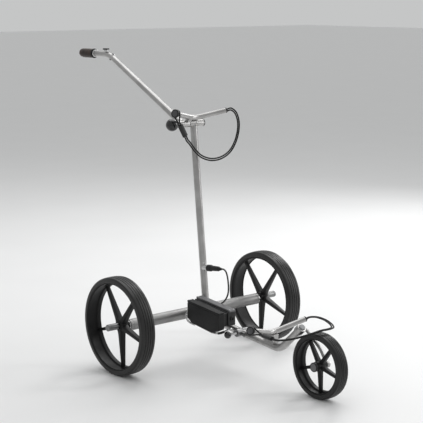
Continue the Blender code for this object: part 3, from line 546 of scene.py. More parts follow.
BUNGEE = braid("bungee_braid", (0.006, 0.006, 0.006), (0.02, 0.02, 0.02), 8, 2 * math.pi * BUNGEE_RADIUS)
SKIN = battery_skin()


# ---- cords, with the route points of the CAD model ----
LEAD_ROUTE = [
    SOCKET + MAST_FRONT * (PLUG_FACE + PLUG_LENGTH + JOINT_GAP),
    SOCKET + MAST_FRONT * (PLUG_FACE + PLUG_LENGTH + 0.009),
    (-0.0010, AXLE_Y - 0.1490, 0.2995),
    (-0.0022, AXLE_Y - 0.1570, 0.2870),
    (-0.0034, AXLE_Y - 0.1622, 0.2710),
    (-0.0042, AXLE_Y - 0.1650, 0.2520),
    (-0.0050, AXLE_Y - 0.1635, 0.2330),
    (-0.0058, AXLE_Y - 0.1550, 0.2160),
    (-0.0068, AXLE_Y - 0.1400, 0.2010),
    (-0.0080, AXLE_Y - 0.1245, 0.1952),
    GLAND - BOOM_BACK * 0.0155,
    GLAND - BOOM_BACK * 0.0104,
]
STRAND_OFFSET = 0.0031
HOOK_TURN_RADIUS = 0.0112
HOOK_TURN_AT = 0.0040
SLEEVE_LENGTH = 0.038
UPPER_SLEEVE = Vector((-0.0865, AXLE_Y - 0.0490, 0.7280))
UPPER_SLEEVE_ALONG = Vector((-0.45, 0.08, 0.89)).normalized()
UPPER_SIDE = (0, 1, 0)
UPPER_STRAND = [
    (0.1250, AXLE_Y - 0.0480, 0.7700),
    (0.1335, AXLE_Y - 0.0510, 0.7450),
    (0.1335, AXLE_Y - 0.0510, 0.7150),
    (0.1225, AXLE_Y - 0.0500, 0.6800),
    (0.0995, AXLE_Y - 0.0500, 0.6510),
    (0.0650, AXLE_Y - 0.0500, 0.6345),
    (0.0250, AXLE_Y - 0.0500, 0.6320),
    (-0.0130, AXLE_Y - 0.0500, 0.6440),
    (-0.0400, AXLE_Y - 0.0500, 0.6650),
    (-0.0600, AXLE_Y - 0.0500, 0.6880),
]
LOWER_SLEEVE = Vector((-0.0945, AXLE_Y - 0.4390, 0.1715))
LOWER_SLEEVE_ALONG = Vector((0, 1.0, 0.04)).normalized()
LOWER_SIDE = (0, 0, 1)
LOWER_STRAND = [
    (0.1300, AXLE_Y - 0.4130, 0.1870),
    (0.1250, AXLE_Y - 0.4500, 0.1870),
    (0.1070, AXLE_Y - 0.4870, 0.1880),
    (0.0840, AXLE_Y - 0.5190, 0.1910),
    (0.0570, AXLE_Y - 0.5470, 0.1955),
    (0.0240, AXLE_Y - 0.5650, 0.2005),
    (-0.0080, AXLE_Y - 0.5650, 0.2010),
    (-0.0340, AXLE_Y - 0.5450, 0.1905),
    (-0.0610, AXLE_Y - 0.5100, 0.1755),
    (-0.0820, AXLE_Y - 0.4820, 0.1690),
]


def hook_turn(end, arm, sleeve, first):
    """Points round the hook's neck, from the side of the first strand to the other side."""
    centre = end + arm * HOOK_TURN_AT
    down = sleeve - centre
    down = (down - arm * down.dot(arm)).normalized()
    across = arm.cross(down)
    if across.dot(first) < 0:
        across = -across
    turn = []
    for degrees in (65, 100, 140, 180, 220, 260, 295):
        angle = math.radians(degrees)
        turn.append(centre + (down * math.cos(angle) + across * math.sin(angle)) * HOOK_TURN_RADIUS)
    return turn


def bungee_route(end, middle, strand, sleeve, along, side_of):
    """From the plug along one strand, through the sleeve, round the hook and back beside it."""
    left, right = mirrored(end, 1), mirrored(end, -1)
    arm = (left - middle).normalized()
    start = left + arm * (PLUG_REACH + JOINT_GAP + 0.0009)
    shares = (-0.9, -0.62, -0.3, 0.0, 0.3, 0.62, 0.82)
    inside = [sleeve + along * (SLEEVE_LENGTH * share) for share in shares]
    line = [start, start + arm * 0.0115, *[Vector(p) for p in strand], *inside]
    sides = []
    for i in range(len(line)):
        run = line[min(i + 1, len(line) - 1)] - line[max(i - 1, 0)]
        sides.append(run.cross(Vector(side_of)).normalized() * STRAND_OFFSET)
    out = [p + s for p, s in zip(line, sides)]
    back = [p - s for p, s in zip(line, sides)]
    return [*out, *hook_turn(right, mirrored(arm, -1), inside[-1], sides[-1]), *reversed(back)]


def make_bungee(name, body, end, middle, strand, sleeve, along, side_of):
    """One elastic cord, doubled: both ends in the plug, the loop over the hook, and the sleeve on it."""
    path = smooth_route(bungee_route(end, middle, strand, sleeve, along, side_of), 0.004)
    cord_shape = pipe(path, BUNGEE_RADIUS, 16, chamfer=0.0)
    cord = piece(f"{name}_cord", cord_shape, BUNGEE, body, f"{name}_bungee")
    across = along.cross(Vector(side_of)).normalized()
    up = along.cross(across)
    half = SLEEVE_LENGTH / 2
    outer = [
        (-1.0, 0.8), (-0.985, 0.92), (-0.95, 1.0), (-0.72, 1.0), (-0.7, 0.93), (-0.66, 0.93),
        (-0.64, 1.0), (0.64, 1.0), (0.66, 0.93), (0.7, 0.93), (0.72, 1.0), (0.95, 1.0), (0.985, 0.92),
        (1.0, 0.8),
    ]
    rings, reach = [], []
    for share, size in outer:
        centre = sleeve + along * (half * share)
        rings.append(circle(centre, across, up, 0.0092 * size, 40, 0.006 / 0.0092))
        reach.append(half * share)
    for share in (0.99, -0.99):
        rings.append(circle(sleeve + along * (half * share), across, up, 0.0068, 40, 0.0036 / 0.0068))
        reach.append(half * share)
    tube = loft(rings, reach, 0.045, looped=True)
    hose = piece(f"{name}_cord_sleeve", tube, RUBBER_SLEEVE, body, f"{name}_bungee_sleeve")


def make_lead():
    """The tapered, ribbed plug in the mast's socket, and the lead down to the controller."""
    long = PLUG_LENGTH
    profile = mm((0, 0), (9.8, 0), (10.4, 1), (10.4, 5.2))
    for i in range(3):
        start = 0.006 + 0.003 * i
        profile += [
            (0.0097, start), (0.0097, start + 0.001), (0.0104, start + 0.0014), (0.0104, start + 0.0024),
        ]
    profile += [(0.0094, 0.0165), (0.0084, 0.0185), (0.0079, long - 0.028), (0.0074, long - 0.014)]
    for i in range(4):
        start, radius = long - 0.0128 + 0.003 * i, 0.0062 - 0.00072 * i
        profile += [
            (radius, start), (radius, start + 0.0014), (radius - 0.0008, start + 0.0018),
            (radius - 0.0008, start + 0.0026),
        ]
    profile += [(0.0031, long - 0.0006), (0.003, long), (0, long)]
    plug = turned(
        "power_lead_plug", profile, SOCKET + MAST_FRONT * PLUG_FACE, MAST_FRONT, BLACK, "chassis",
        "power_plug", steps=48, ease=0.0003,
    )
    path = smooth_route(LEAD_ROUTE, 0.003)
    lead = piece("power_lead_cable", pipe(path, LEAD_RADIUS, 16, chamfer=0.0), CABLE, "chassis", "power_lead")


make_lead()
make_bungee(
    "upper", "handle", UPPER_V_END, UPPER_V_MIDDLE, UPPER_STRAND, UPPER_SLEEVE, UPPER_SLEEVE_ALONG,
    UPPER_SIDE,
)
make_bungee(
    "lower", "front_frame", LOWER_V_END, LOWER_V_MIDDLE, LOWER_STRAND, LOWER_SLEEVE, LOWER_SLEEVE_ALONG,
    LOWER_SIDE,
)


# ---- small fastenings ----
def cope(ring, run, centre, radius):
    """Moves a ring along a run until it lies on a cylinder round an X axis through a centre."""
    out = []
    for point in ring:
        flat = Vector((0, *(point - centre).yz))
        along = Vector((0, *run.yz))
        b, c = flat.dot(along), flat.length_squared - radius**2
        root = math.sqrt(max(0, b * b - along.length_squared * c))
        out.append(point + run * (-b + root) / along.length_squared)
    return out


def weld(name, body, tube_point, tube_run, tube_radius, base_point, base_run, base_radius, bead=0.0013):
    """A rippled bead where a tube that comes from a base cylinder leaves it."""
    run, base = Vector(tube_run).normalized(), Vector(base_run).normalized()
    across = run.cross(base).normalized()
    up = run.cross(across)
    steps = 96
    points = []
    for i in range(steps):
        angle = 2 * math.pi * i / steps
        start = Vector(tube_point) + (across * math.cos(angle) + up * math.sin(angle)) * tube_radius
        off = start - Vector(base_point)
        off -= base * off.dot(base)
        pace = run - base * run.dot(base)
        b, c = off.dot(pace), off.length_squared - base_radius**2
        root = math.sqrt(max(0, b * b - pace.length_squared * c))
        points.append(start + run * (-b + root) / pace.length_squared)
    radii = [bead * (1 + 0.16 * math.sin(2 * math.pi * i / 4)) for i in range(steps)]
    piece(name, pipe(points, radii, 8, looped=True), WELD, body, sharp=70)


def ring_weld(name, body, centre, direction, radius, bead=0.0012):
    """A rippled bead round a tube."""
    steps = 96
    z = Vector(direction).normalized()
    x = z.orthogonal().normalized()
    points = circle(Vector(centre), x, z.cross(x), radius, steps)
    radii = [bead * (1 + 0.16 * math.sin(2 * math.pi * i / 4)) for i in range(steps)]
    piece(name, pipe(points, radii, 8, looped=True), WELD, body, sharp=70)


def screw(name, body, place, direction, radius):
    """A cap screw's head with a six-sided socket."""
    z = Vector(direction).normalized()
    x = z.orthogonal().normalized()
    y = z.cross(x)
    high = radius * 0.55
    profile = ((1.0, -0.3), (1.0, 0.72), (0.94, 0.92), (0.84, 1.0), (0.56, 1.0))
    rings = [circle(Vector(place) + z * high * h, x, y, radius * r, 24) for r, h in profile]
    for h in (1.0, 0.25):
        corner = []
        for i in range(24):
            turn = math.radians(15 * i)
            reach = 0.48 * math.cos(math.radians(30)) / math.cos(turn % math.radians(60) - math.radians(30))
            corner.append(
                Vector(place) + z * high * h + (x * math.cos(turn) + y * math.sin(turn)) * radius * reach,
            )
        rings.append(corner)
    piece(
        name, loft(rings, [0.001 * i for i in range(len(rings))], 2 * math.pi * radius), STEEL, body,
        sharp=30,
    )


# ---- wheels ----
def make_tyre(side, body, centre, out, radius, rim_inner, width):
    """A ribbed tyre: five ribs between four grooves, and smooth shoulders."""
    half, seat = width / 2, rim_inner + 0.0065
    wall = radius - seat
    edge = half - 0.0046
    profile = [(seat, half - 0.0014), (seat + 0.1 * wall, half - 0.0002), (seat + 0.3 * wall, half - 0.0002),
               (seat + 0.34 * wall, half - 0.0007), (seat + 0.62 * wall, half - 0.0006),
               (radius - 0.0042, half - 0.0021), (radius - 0.0018, half - 0.0033)]
    pitch = 2 * edge / 5
    for i in range(4):
        h = edge - pitch * (i + 1)
        top = radius - 0.0011 * (h / edge) ** 2
        profile += [
            (top, h + 0.0012), (top - 0.0017, h + 0.0006), (top - 0.0017, h - 0.0006), (top, h - 0.0012),
        ]
    profile += [(r, -h) for r, h in reversed(profile[:7])]
    turned(
        f"{side}_ribbed_tyre", profile, centre, (out, 0, 0), TYRE, body, f"{side}_tyre", steps=128,
        ease=0.0007, looped=True, sharp=45,
    )


def make_rim(side, body, centre, out, rim_inner, width, hub, blade):
    """A deep stepped barrel with rolled lips, five tapered blades for spokes and a stepped hub."""
    bed = width / 2 - 0.0025
    seat = rim_inner + 0.0062
    step = rim_inner + 0.0045
    barrel = [(seat, bed), (seat, -bed), (rim_inner + 0.0006, -bed), (rim_inner, -bed + 0.0012),
              (rim_inner, -bed + 0.0128), (rim_inner + 0.0008, -bed + 0.0134), (step, -bed + 0.0148),
              (step, bed - 0.0036), (rim_inner + 0.003, bed - 0.0028), (rim_inner + 0.0024, bed - 0.0016),
              (rim_inner + 0.0026, bed - 0.0004)]
    hub_radius, hub_in, hub_out = hub
    core = [
        (HUB_BORE, hub_out), (hub_radius * 0.8, hub_out), (hub_radius * 0.9, hub_out - 0.0008),
        (hub_radius, hub_out - 0.003), (hub_radius, hub_in + 0.004), (hub_radius * 0.86, hub_in),
        (HUB_BORE, hub_in),
    ]
    axis = (out, 0, 0)
    shapes = [
        lathe(barrel, centre, axis, 128, looped=True, ease=0.0006),
        lathe(core, centre, axis, 64, looped=True),
    ]
    start, end = hub_radius - 0.003, step + 0.001
    root, tip = blade
    for i in range(5):
        turn = math.radians(180 + 72 * i)
        radial = Vector((0, -math.sin(turn), math.cos(turn)))
        across = X_AXIS.cross(radial)
        rings, along = [], []
        for k in range(17):
            s = k / 16
            reach = start + (end - start) * s
            flare = math.exp(-s * 22) + 0.8 * math.exp(-(1 - s) * 26)
            half = (root[0] + (tip[0] - root[0]) * s) / 2 + 0.0022 * flare
            inner = root[1] + (tip[1] - root[1]) * s
            outer = root[2] + (tip[2] - root[2]) * s + 0.001 * flare
            soft = min(half * 0.8, 0.0012)
            section = []
            corners = ((inner, -half, 180), (outer, -half, 270), (outer, half, 0), (inner, half, 90))
            for x, y, toward in corners:
                middle = (x + (soft if x == inner else -soft), y + (soft if y < 0 else -soft))
                for degrees in (0, 30, 60, 90):
                    angle = math.radians(toward + degrees)
                    section.append((middle[0] + soft * math.cos(angle), middle[1] + soft * math.sin(angle)))
            middle = Vector(centre) + radial * reach
            rings.append([middle + X_AXIS * (out * x) + across * y for x, y in section])
            along.append(reach)
        shapes.append(loft(rings, along, 0.05))
    piece(f"{side}_spoked_rim", joined(*shapes), RIM_BLACK, body, f"{side}_rim", sharp=32)


def make_rear_wheel(side, out):
    centre = Vector((out * TRACK_HALF, AXLE_Y, REAR_RADIUS))
    body = f"{side}_wheel"
    make_tyre(side, body, centre, out, REAR_RADIUS, REAR_RIM_INNER, REAR_WIDTH)
    make_rim(side, body, centre, out, REAR_RIM_INNER, REAR_WIDTH, REAR_HUB, REAR_BLADE)
    long = AXLE_END - RELEASE_FOOT
    profile = [
        (0, long - 0.0012), (0.004, long - 0.0012), (0.0048, long), (0.009, long),
        (0.0101, long - 0.0014), (0.0101, long - 0.0062), (0.0097, long - 0.0066),
        (0.0097, long - 0.0072), (0.0101, long - 0.0076), (0.0101, 0.0052), (0.0097, 0.0048),
        (0.0097, 0.001), (0.0093, 0), (0.0056, 0), (0.0056, 0.0262), (0, 0.0262),
    ]
    foot = (out * RELEASE_FOOT, AXLE_Y, REAR_RADIUS)
    turned(
        f"{side}_release_sleeve", profile, foot, (out, 0, 0), DARK_METAL, f"{side}_release",
        f"{side}_release_knob", ease=0.0003,
    )
    shaft = mm(
        (0, 322), (4, 322), (5, 321), (5, 275.5), (4.4, 275), (4.4, 274), (5, 273.5), (5, 236), (0, 236),
    )
    turned(
        f"{side}_shaft", shaft, (0, AXLE_Y, REAR_RADIUS), (out, 0, 0), STEEL, body, f"{side}_drive_shaft",
        steps=32, ease=0.0002,
    )


def make_front_wheel():
    make_tyre("front", "front_wheel", FRONT_AXLE, -1, FRONT_RADIUS, FRONT_RIM_INNER, FRONT_WIDTH)
    make_rim("front", "front_wheel", FRONT_AXLE, -1, FRONT_RIM_INNER, FRONT_WIDTH, FRONT_HUB, FRONT_BLADE)
    foot = FRONT_AXLE + X_AXIS * FRONT_RELEASE_X
    cup = mm(
        (0, 7.6), (11.2, 7.6), (11.6, 8.6), (12.8, 8.6), (13.5, 7.6), (13.5, 3), (13.2, 2.6), (13.2, 2),
        (13.5, 1.6), (13.5, 0.6), (12.8, 0), (0, 0),
    )
    turned("front_release_cup", cup, foot, -X_AXIS, BLACK, "front_release", "front_release_knob", ease=0.0003)
    face = mm((0, 8.5), (10.4, 8.5), (11.1, 7.9), (11.1, 7.2), (0, 7.2))
    turned("front_release_face", face, foot, -X_AXIS, GREY, "front_release")


# ---- rear chassis ----
def make_axle():
    end = AXLE_TUBE_HALF
    half = [
        (0.0155, end), (0.0168, end), (0.0175, end - 0.0007), (0.0175, end - 0.009),
        (0.017, end - 0.0095), (0.017, end - 0.0103), (0.0175, end - 0.0108),
    ]
    outline = [*half, *[(r, -h) for r, h in reversed(half)]]
    turned(
        "axle_housing",
        [(0, end - 0.02), (0.0155, end - 0.02), *outline, (0.0155, -end + 0.02), (0, -end + 0.02)],
        (0, AXLE_Y, MOTOR_Z), X_AXIS, AXLE_METAL, "chassis", "axle_tube", steps=96, ease=0.0003,
    )
    for side, out in (("right", -1), ("left", 1)):
        cap = mm((0, 265.5), (14.2, 265.5), (15, 264.7), (15, 250), (0, 250))
        turned(
            f"{side}_bearing_cap", cap, (0, AXLE_Y, MOTOR_Z), (out, 0, 0), STEEL, "chassis",
            f"{side}_axle_bearing",
        )
        seal = mm((5.6, 266.8), (8.2, 266.8), (9, 266.3), (9, 265), (5.6, 265))
        turned(
            f"{side}_shaft_seal", seal, (0, AXLE_Y, REAR_RADIUS), (out, 0, 0), BLACK, "chassis", steps=48,
            ease=0.0003, looped=True,
        )
        for i in range(3):
            turn = math.radians(30 + 120 * i)
            place = Vector(
                (out * 0.2655, AXLE_Y + 0.0118 * math.cos(turn), MOTOR_Z - 0.001 + 0.0118 * math.sin(turn)),
            )
            screw(f"{side}_bearing_screw_{i + 1}", "chassis", place, (out, 0, 0), 0.0019)


def coped_pipe(points, radius, end_run, cope_radius, steps=48):
    """A bar whose first ring fits round a cylinder about the fold joint."""
    shape_points = [Vector(p) for p in points]
    run = Vector(end_run).normalized()
    x = X_AXIS
    rings = []
    for i, point in enumerate(shape_points):
        along = shape_points[min(i + 1, len(points) - 1)] - shape_points[max(i - 1, 0)]
        along.normalize()
        rings.append(circle(point, x, along.cross(x), radius, steps))
    rings[0] = cope(rings[0], run, FOLD, cope_radius)
    return loft(rings, distances(shape_points), 2 * math.pi * radius)


def make_boom():
    start = boom_point(AXLE_Y - 0.01)
    points = [FOLD + BOOM_BACK * 0.01, FOLD + BOOM_BACK * 0.03, start]
    shape = coped_pipe(points, TUBE_RADIUS, BOOM_BACK, EYE_RADIUS + 0.0012)
    piece("rear_boom_tube", shape, TITANIUM, "chassis", "rear_boom")
    weld(
        "axle_weld", "chassis", start, -BOOM_BACK, TUBE_RADIUS, (0, AXLE_Y, MOTOR_Z), X_AXIS,
        AXLE_TUBE_RADIUS,
    )
    make_eye("rear_fold_eye", "chassis", 0.0004, 0.022, BOOM_BACK, "boom_hinge_eye")


def make_eye(name, body, x0, x1, toward, node):
    """A ring of the fold joint, with the tongue that is welded into its boom."""
    ring = [(STUD_BORE, x0), (0.0112, x0), (EYE_RADIUS, x0 + 0.0008), (EYE_RADIUS, x1 - 0.0008),
            (0.0112, x1), (STUD_BORE, x1)]
    eye = lathe(ring, FOLD, X_AXIS, 64, looped=True, ease=0.0003)
    middle = (x0 + x1) / 2
    side = 1 if middle > 0 else -1
    root = FOLD + X_AXIS * side * 0.0082
    tongue = pipe([root + toward * 0.008, root + toward * 0.026], 0.007, 32)
    piece(name, joined(eye, tongue), DARK_METAL, body, node)


def make_mast():
    top = HINGE - MAST_UP * 0.006
    shape = pipe(
        [MAST_FOOT + MAST_UP * 0.006, MAST_FOOT + MAST_UP * 0.2, MAST_FOOT + MAST_UP * 0.4, top],
        TUBE_RADIUS, 64,
    )
    piece("mast", shape, TITANIUM, "chassis", "mast_tube")
    weld("mast_foot_weld", "chassis", MAST_FOOT, MAST_UP, TUBE_RADIUS, MAST_FOOT, BOOM_BACK, TUBE_RADIUS)
    weld(
        "mast_head_weld", "chassis", HINGE, -MAST_UP, TUBE_RADIUS - 0.0006, HINGE, X_AXIS, BARREL_RADIUS,
        0.0011,
    )
    barrel = [
        (STUD_BORE, -0.0195), (0.0102, -0.0195), (BARREL_RADIUS, -0.0187), (BARREL_RADIUS, 0.0322),
        (0.0104, 0.0327), (0.0104, 0.0338), (BARREL_RADIUS, 0.0343), (BARREL_RADIUS, 0.036),
        (STUD_BORE, 0.036),
    ]
    turned(
        "mast_barrel", barrel, HINGE, X_AXIS, TITANIUM, "chassis", "mast_hinge_barrel", ease=0.0003,
        looped=True,
    )
    rim = mm((8, 38.5), (10.6, 38.5), (11.4, 37.7), (11.4, 36.2), (8, 36.2))
    turned("barrel_cap_rim", rim, HINGE, X_AXIS, BLACK, "chassis", ease=0.0003, looped=True)
    face = mm((0, 38), (7.2, 38), (7.9, 37.4), (7.9, 36.2), (0, 36.2))
    turned("barrel_cap_face", face, HINGE, X_AXIS, STEEL, "chassis")
    forward = Vector((0, -0.94, 0.34)).normalized()
    screw(
        "barrel_screw", "chassis", HINGE + X_AXIS * 0.006 + forward * (BARREL_RADIUS - 0.0004), forward,
        0.0026,
    )


def make_socket():
    """The socket on the mast: a silver boss with a flange ring and a screw over it."""
    boss = mm(
        (0, 23.8), (7.6, 23.8), (8.2, 23), (9.8, 23), (10.5, 22.2), (10.5, 17.6), (9.9, 17.1), (9.9, 16),
        (10.5, 15.5), (10.5, 4), (0, 4),
    )
    turned("socket_boss", boss, SOCKET, MAST_FRONT, STEEL, "chassis", "power_socket", ease=0.0003)
    facing = (MAST_FRONT * 0.86 - X_AXIS * 0.51).normalized()
    screw("socket_screw", "chassis", SOCKET + MAST_UP * 0.016 + facing * 0.0108, facing, 0.003)


def make_power_unit():
    def z_at(y, height):
        return height + (y - AXLE_Y) * math.tan(BOOM_PITCH)

    front, rear, seam = AXLE_Y - 0.208, AXLE_Y - 0.05, 0.208
    outline = [(front, z_at(front, 0.1665)), (front, z_at(front, seam)), (rear, z_at(rear, seam)),
               (rear, z_at(rear, 0.1745)), (rear - 0.012, z_at(rear, 0.1665))]
    piece("controller_body", extruded(outline, -0.043, -0.013), BLACK, "chassis", "controller_case",
          rounding=0.0022, segments=4)
    cover = [(front, z_at(front, seam + JOINT_GAP)), (front, z_at(front, seam + 0.0065)),
             (rear - 0.002, z_at(rear, seam + 0.0065)), (rear, z_at(rear, seam + 0.0045)),
             (rear, z_at(rear, seam + JOINT_GAP))]
    piece("controller_cover", extruded(cover, -0.037, -0.013), GREY, "chassis", "controller_lid",
          rounding=0.0016, segments=4)
    for i, (x, y) in enumerate(((-0.0335, front + 0.006), (-0.0165, front + 0.006), (-0.0335, rear - 0.008),
                                (-0.0165, rear - 0.008))):
        place = (x, y, z_at(y, seam + 0.0063))
        screw(f"cover_screw_{i + 1}", "chassis", place, BOOM_UP, 0.0021)
    port = mm((0, 0.2), (4, 0.2), (4, 2.8), (5.8, 2.8), (6.4, 2.2), (6.4, 0), (0, 0))
    place = Vector((-0.028, front - 0.0002, z_at(front, 0.188)))
    turned("controller_port", port, place, (0, -1, 0), BLACK, "chassis", steps=48, ease=0.0002)
    dock = [(front + 0.004, z_at(front, 0.1665)), (front + 0.004, z_at(front, 0.206)),
            (rear - 0.02, z_at(rear, 0.206)), (rear - 0.02, z_at(rear, 0.1665))]
    piece("battery_dock_plate", extruded(dock, -0.0587, -0.0433), BLACK, "chassis", "battery_dock",
          rounding=0.0014)
    front, rear, seam = AXLE_Y - 0.21, AXLE_Y - 0.062, 0.207
    case = [
        (front, z_at(front, 0.161)), (front, z_at(front, seam)), (rear, z_at(rear, seam)),
        (rear, z_at(rear, 0.1575)), (rear - 0.021, z_at(rear, 0.144)),
        (front + 0.032, z_at(front, 0.146)),
    ]
    piece("battery_body", extruded(case, -0.083, -0.059), SKIN, "battery", "battery_case",
          rounding=0.0024, segments=4)
    lid = [(front, z_at(front, seam + JOINT_GAP)), (front, z_at(front, seam + 0.0065)),
           (rear, z_at(rear, seam + 0.0065)), (rear, z_at(rear, seam + JOINT_GAP))]
    piece("battery_cover", extruded(lid, -0.083, -0.059), SKIN, "battery", "battery_lid",
          rounding=0.002, segments=4)
    place = Matrix.Translation(GLAND) @ Matrix.Rotation(BOOM_PITCH, 4, "X")
    piece("lead_gland", block((0.0078, 0.02, 0.011), place), BLACK, "chassis", "cable_gland",
          rounding=0.0022, segments=4)


def make_tray():
    """The wire under the battery, a coiled strap round its rear corner and a rubber sleeve in front."""
    route = [
        boom_point(AXLE_Y - 0.196, 0.002, -0.0115),
        (-0.026, AXLE_Y - 0.197, 0.134),
        (-0.044, AXLE_Y - 0.194, 0.128),
        (-0.058, AXLE_Y - 0.187, 0.1238),
        (-0.0665, AXLE_Y - 0.175, 0.1226),
        (-0.069, AXLE_Y - 0.159, 0.1248),
        (-0.069, AXLE_Y - 0.12, 0.1298),
        (-0.069, AXLE_Y - 0.096, 0.1328),
        (-0.065, AXLE_Y - 0.08, 0.1345),
        (-0.054, AXLE_Y - 0.071, 0.1365),
        (-0.038, AXLE_Y - 0.069, 0.138),
        (-0.024, AXLE_Y - 0.069, 0.139),
        boom_point(AXLE_Y - 0.069, 0, -0.0115),
    ]
    path = smooth_route(route, 0.003)
    piece("tray_wire", pipe(path, 0.0028, 24), STEEL, "chassis", "battery_tray")
    front = [p for p in path if AXLE_Y - 0.194 < p.y < AXLE_Y - 0.181 and p.x < -0.044]
    piece("tray_sleeve", pipe(front, 0.0038, 24, chamfer=0.0008), RUBBER_SLEEVE, "chassis")
    strap = [
        (-0.0745, AXLE_Y - 0.09, 0.1335),
        (-0.079, AXLE_Y - 0.074, 0.1365),
        (-0.08, AXLE_Y - 0.06, 0.143),
        (-0.08, AXLE_Y - 0.0535, 0.153),
        (-0.078, AXLE_Y - 0.0555, 0.164),
        (-0.07, AXLE_Y - 0.058, 0.169),
        (-0.056, AXLE_Y - 0.064, 0.17),
    ]
    run = smooth_route(strap, 0.003)
    reach = distances(run)
    coil = []
    turns, steps = 30, 12
    for i in range(turns * steps + 1):
        share = reach[-1] * i / (turns * steps)
        k = max(n for n in range(len(run) - 1) if reach[n] <= share + 1e-9)
        along = (run[k + 1] - run[k]).normalized()
        centre = run[k] + along * (share - reach[k])
        across = along.cross(X_AXIS).normalized()
        turn = 2 * math.pi * i / steps
        coil.append(centre + (across * math.cos(turn) + along.cross(across) * math.sin(turn)) * 0.0026)
    piece("tray_spring", pipe(coil, 0.0008, 8, chamfer=0.0), STEEL, "chassis", sharp=60)


# ---- front frame ----
def make_front_frame():
    corner = fillet(BEND, -BOOM_BACK, RISER_UP, 0.05, 14)
    start = [FOLD - BOOM_BACK * 0.012, FOLD - BOOM_BACK * 0.03, FOLD - BOOM_BACK * 0.09]
    shape = coped_pipe(
        [*start, *corner, HEAD - RISER_UP * 0.004], TUBE_RADIUS, -BOOM_BACK, EYE_RADIUS + 0.0042, 64,
    )
    piece("front_boom_tube", shape, TITANIUM, "front_frame", "front_boom")
    make_eye("front_fold_eye", "front_frame", -0.022, -0.0004, -BOOM_BACK, "front_boom_eye")
    head = mm((0, 13), (12.8, 13), (14.5, 11.4), (14.5, -7.6), (13.4, -9), (0, -9))
    turned("head_boss", head, HEAD, RISER_UP, TITANIUM, "front_frame", "fork_head", ease=0.0004)
    ring_weld("head_weld", "front_frame", HEAD - RISER_UP * 0.0094, RISER_UP, TUBE_RADIUS + 0.0002)
    cap = mm((0, 17.6), (8.6, 17.6), (9.8, 16.4), (9.8, 12.8), (0, 12.8))
    turned("head_cap", cap, HEAD, RISER_UP, PALE_GREY, "front_frame", steps=6, ease=0, rounding=0.0006)
    low = [p for p in cradle_path(LOWER_V_MIDDLE, LOWER_V_END)]
    saddle_y = low[len(low) // 2].y
    top, foot = BRACKET_TOP, 0.0085
    middle = boom_point(saddle_y + 0.012, (top + foot) / 2)
    place = Matrix.Translation(middle) @ Matrix.Rotation(BOOM_PITCH, 4, "X")
    pad_middle = boom_point(saddle_y + PAD_OFFSET, top + PAD_HEIGHT - 0.0025)
    pad_place = Matrix.Translation(pad_middle) @ Matrix.Rotation(BOOM_PITCH, 4, "X")
    shape = joined(block((0.02, 0.044, top - foot), place), block((0.018, 0.02, 0.005), pad_place))
    piece("cradle_bracket", shape, TITANIUM, "front_frame", "lower_cradle_bracket",
          rounding=0.0008, segments=3)
    make_cradle("lower", "front_frame", LOWER_V_MIDDLE, LOWER_V_END)
    make_fork()


def make_fork():
    side = 0.026
    arm_top = HEAD - RISER_UP * 0.002
    route = [
        arm_top + Vector((0.012, 0, 0)),
        arm_top + Vector((0.0178, 0, 0)),
        arm_top + Vector((0.0238, -0.007, -0.004)),
        Vector((side, arm_top.y - 0.022, arm_top.z - 0.018)),
        Vector((side + 0.0005, FRONT_AXLE.y + 0.028, FRONT_AXLE.z + 0.04)),
        Vector((side + 0.0005, FRONT_AXLE.y + 0.0035, FRONT_AXLE.z + 0.006)),
    ]
    bar = pipe(smooth_route(route, 0.003), 0.005, 32)
    eye = mm((4.6, -5), (10, -5), (11, -4), (11, 5), (10, 6), (4.6, 6))
    ring = lathe(eye, FRONT_AXLE + X_AXIS * side, X_AXIS, 48, looped=True, ease=0.0003)
    piece("fork_leg", joined(bar, ring), TITANIUM, "front_frame", "fork_arm")
    axle = mm((0, -18.5), (3.6, -18.5), (4.3, -17.7), (4.3, 32), (0, 32))
    turned(
        "front_spindle", axle, FRONT_AXLE, X_AXIS, STEEL, "front_frame", "front_axle", steps=32,
        ease=0.0002,
    )
    nut = mm((0, 37.5), (6.2, 37.5), (7.4, 36.6), (7.4, 32.4), (0, 32.4))
    turned("spindle_nut", nut, FRONT_AXLE, X_AXIS, STEEL, "front_frame", steps=6, ease=0, rounding=0.0004)


# ---- cradles ----
def cradle_path(middle, end):
    left, right = mirrored(end, 1), mirrored(end, -1)
    return [right, *fillet(middle, middle - right, left - middle, CRADLE_BEND, 18), left]


def make_cradle(name, body, middle, end):
    """The bent tube, the cord plug at its left end and the hook knob with its pale face at the right."""
    left, right = mirrored(end, 1), mirrored(end, -1)
    arm = (left - middle).normalized()
    shape = pipe(cradle_path(middle, end), CRADLE_RADIUS, 48)
    piece(f"{name}_cradle", shape, TITANIUM, body, f"{name}_bag_cradle")
    plug = [(0, PLUG_REACH), (0.0052, PLUG_REACH), (0.0062, PLUG_REACH - 0.0008), (0.0066, 0.003),
            (0.0083, 0.0022), (0.0083, 0.0008), (0.0078, 0.0002), (0, 0.0002)]
    turned(f"{name}_cord_plug", plug, left, arm, BLACK, body, f"{name}_bungee_plug", steps=48, ease=0.0003)
    cup = mm(
        (0, 15.4), (9.6, 15.4), (10, 16.4), (11.6, 16.4), (13, 15), (13, 10.8), (12, 10), (7.8, 9.2),
        (7, 8.2), (7, 2.2), (7.6, 1.2), (8, 0.3), (0, 0.3),
    )
    outward = mirrored(arm, -1)
    turned(f"{name}_hook", cup, right, outward, BLACK, body, f"{name}_bungee_hook", ease=0.0004)
    face = mm((0, 16.3), (8.8, 16.3), (9.5, 15.8), (9.5, 15), (0, 15))
    turned(f"{name}_hook_face", face, right, outward, HOOK_FACE, body)


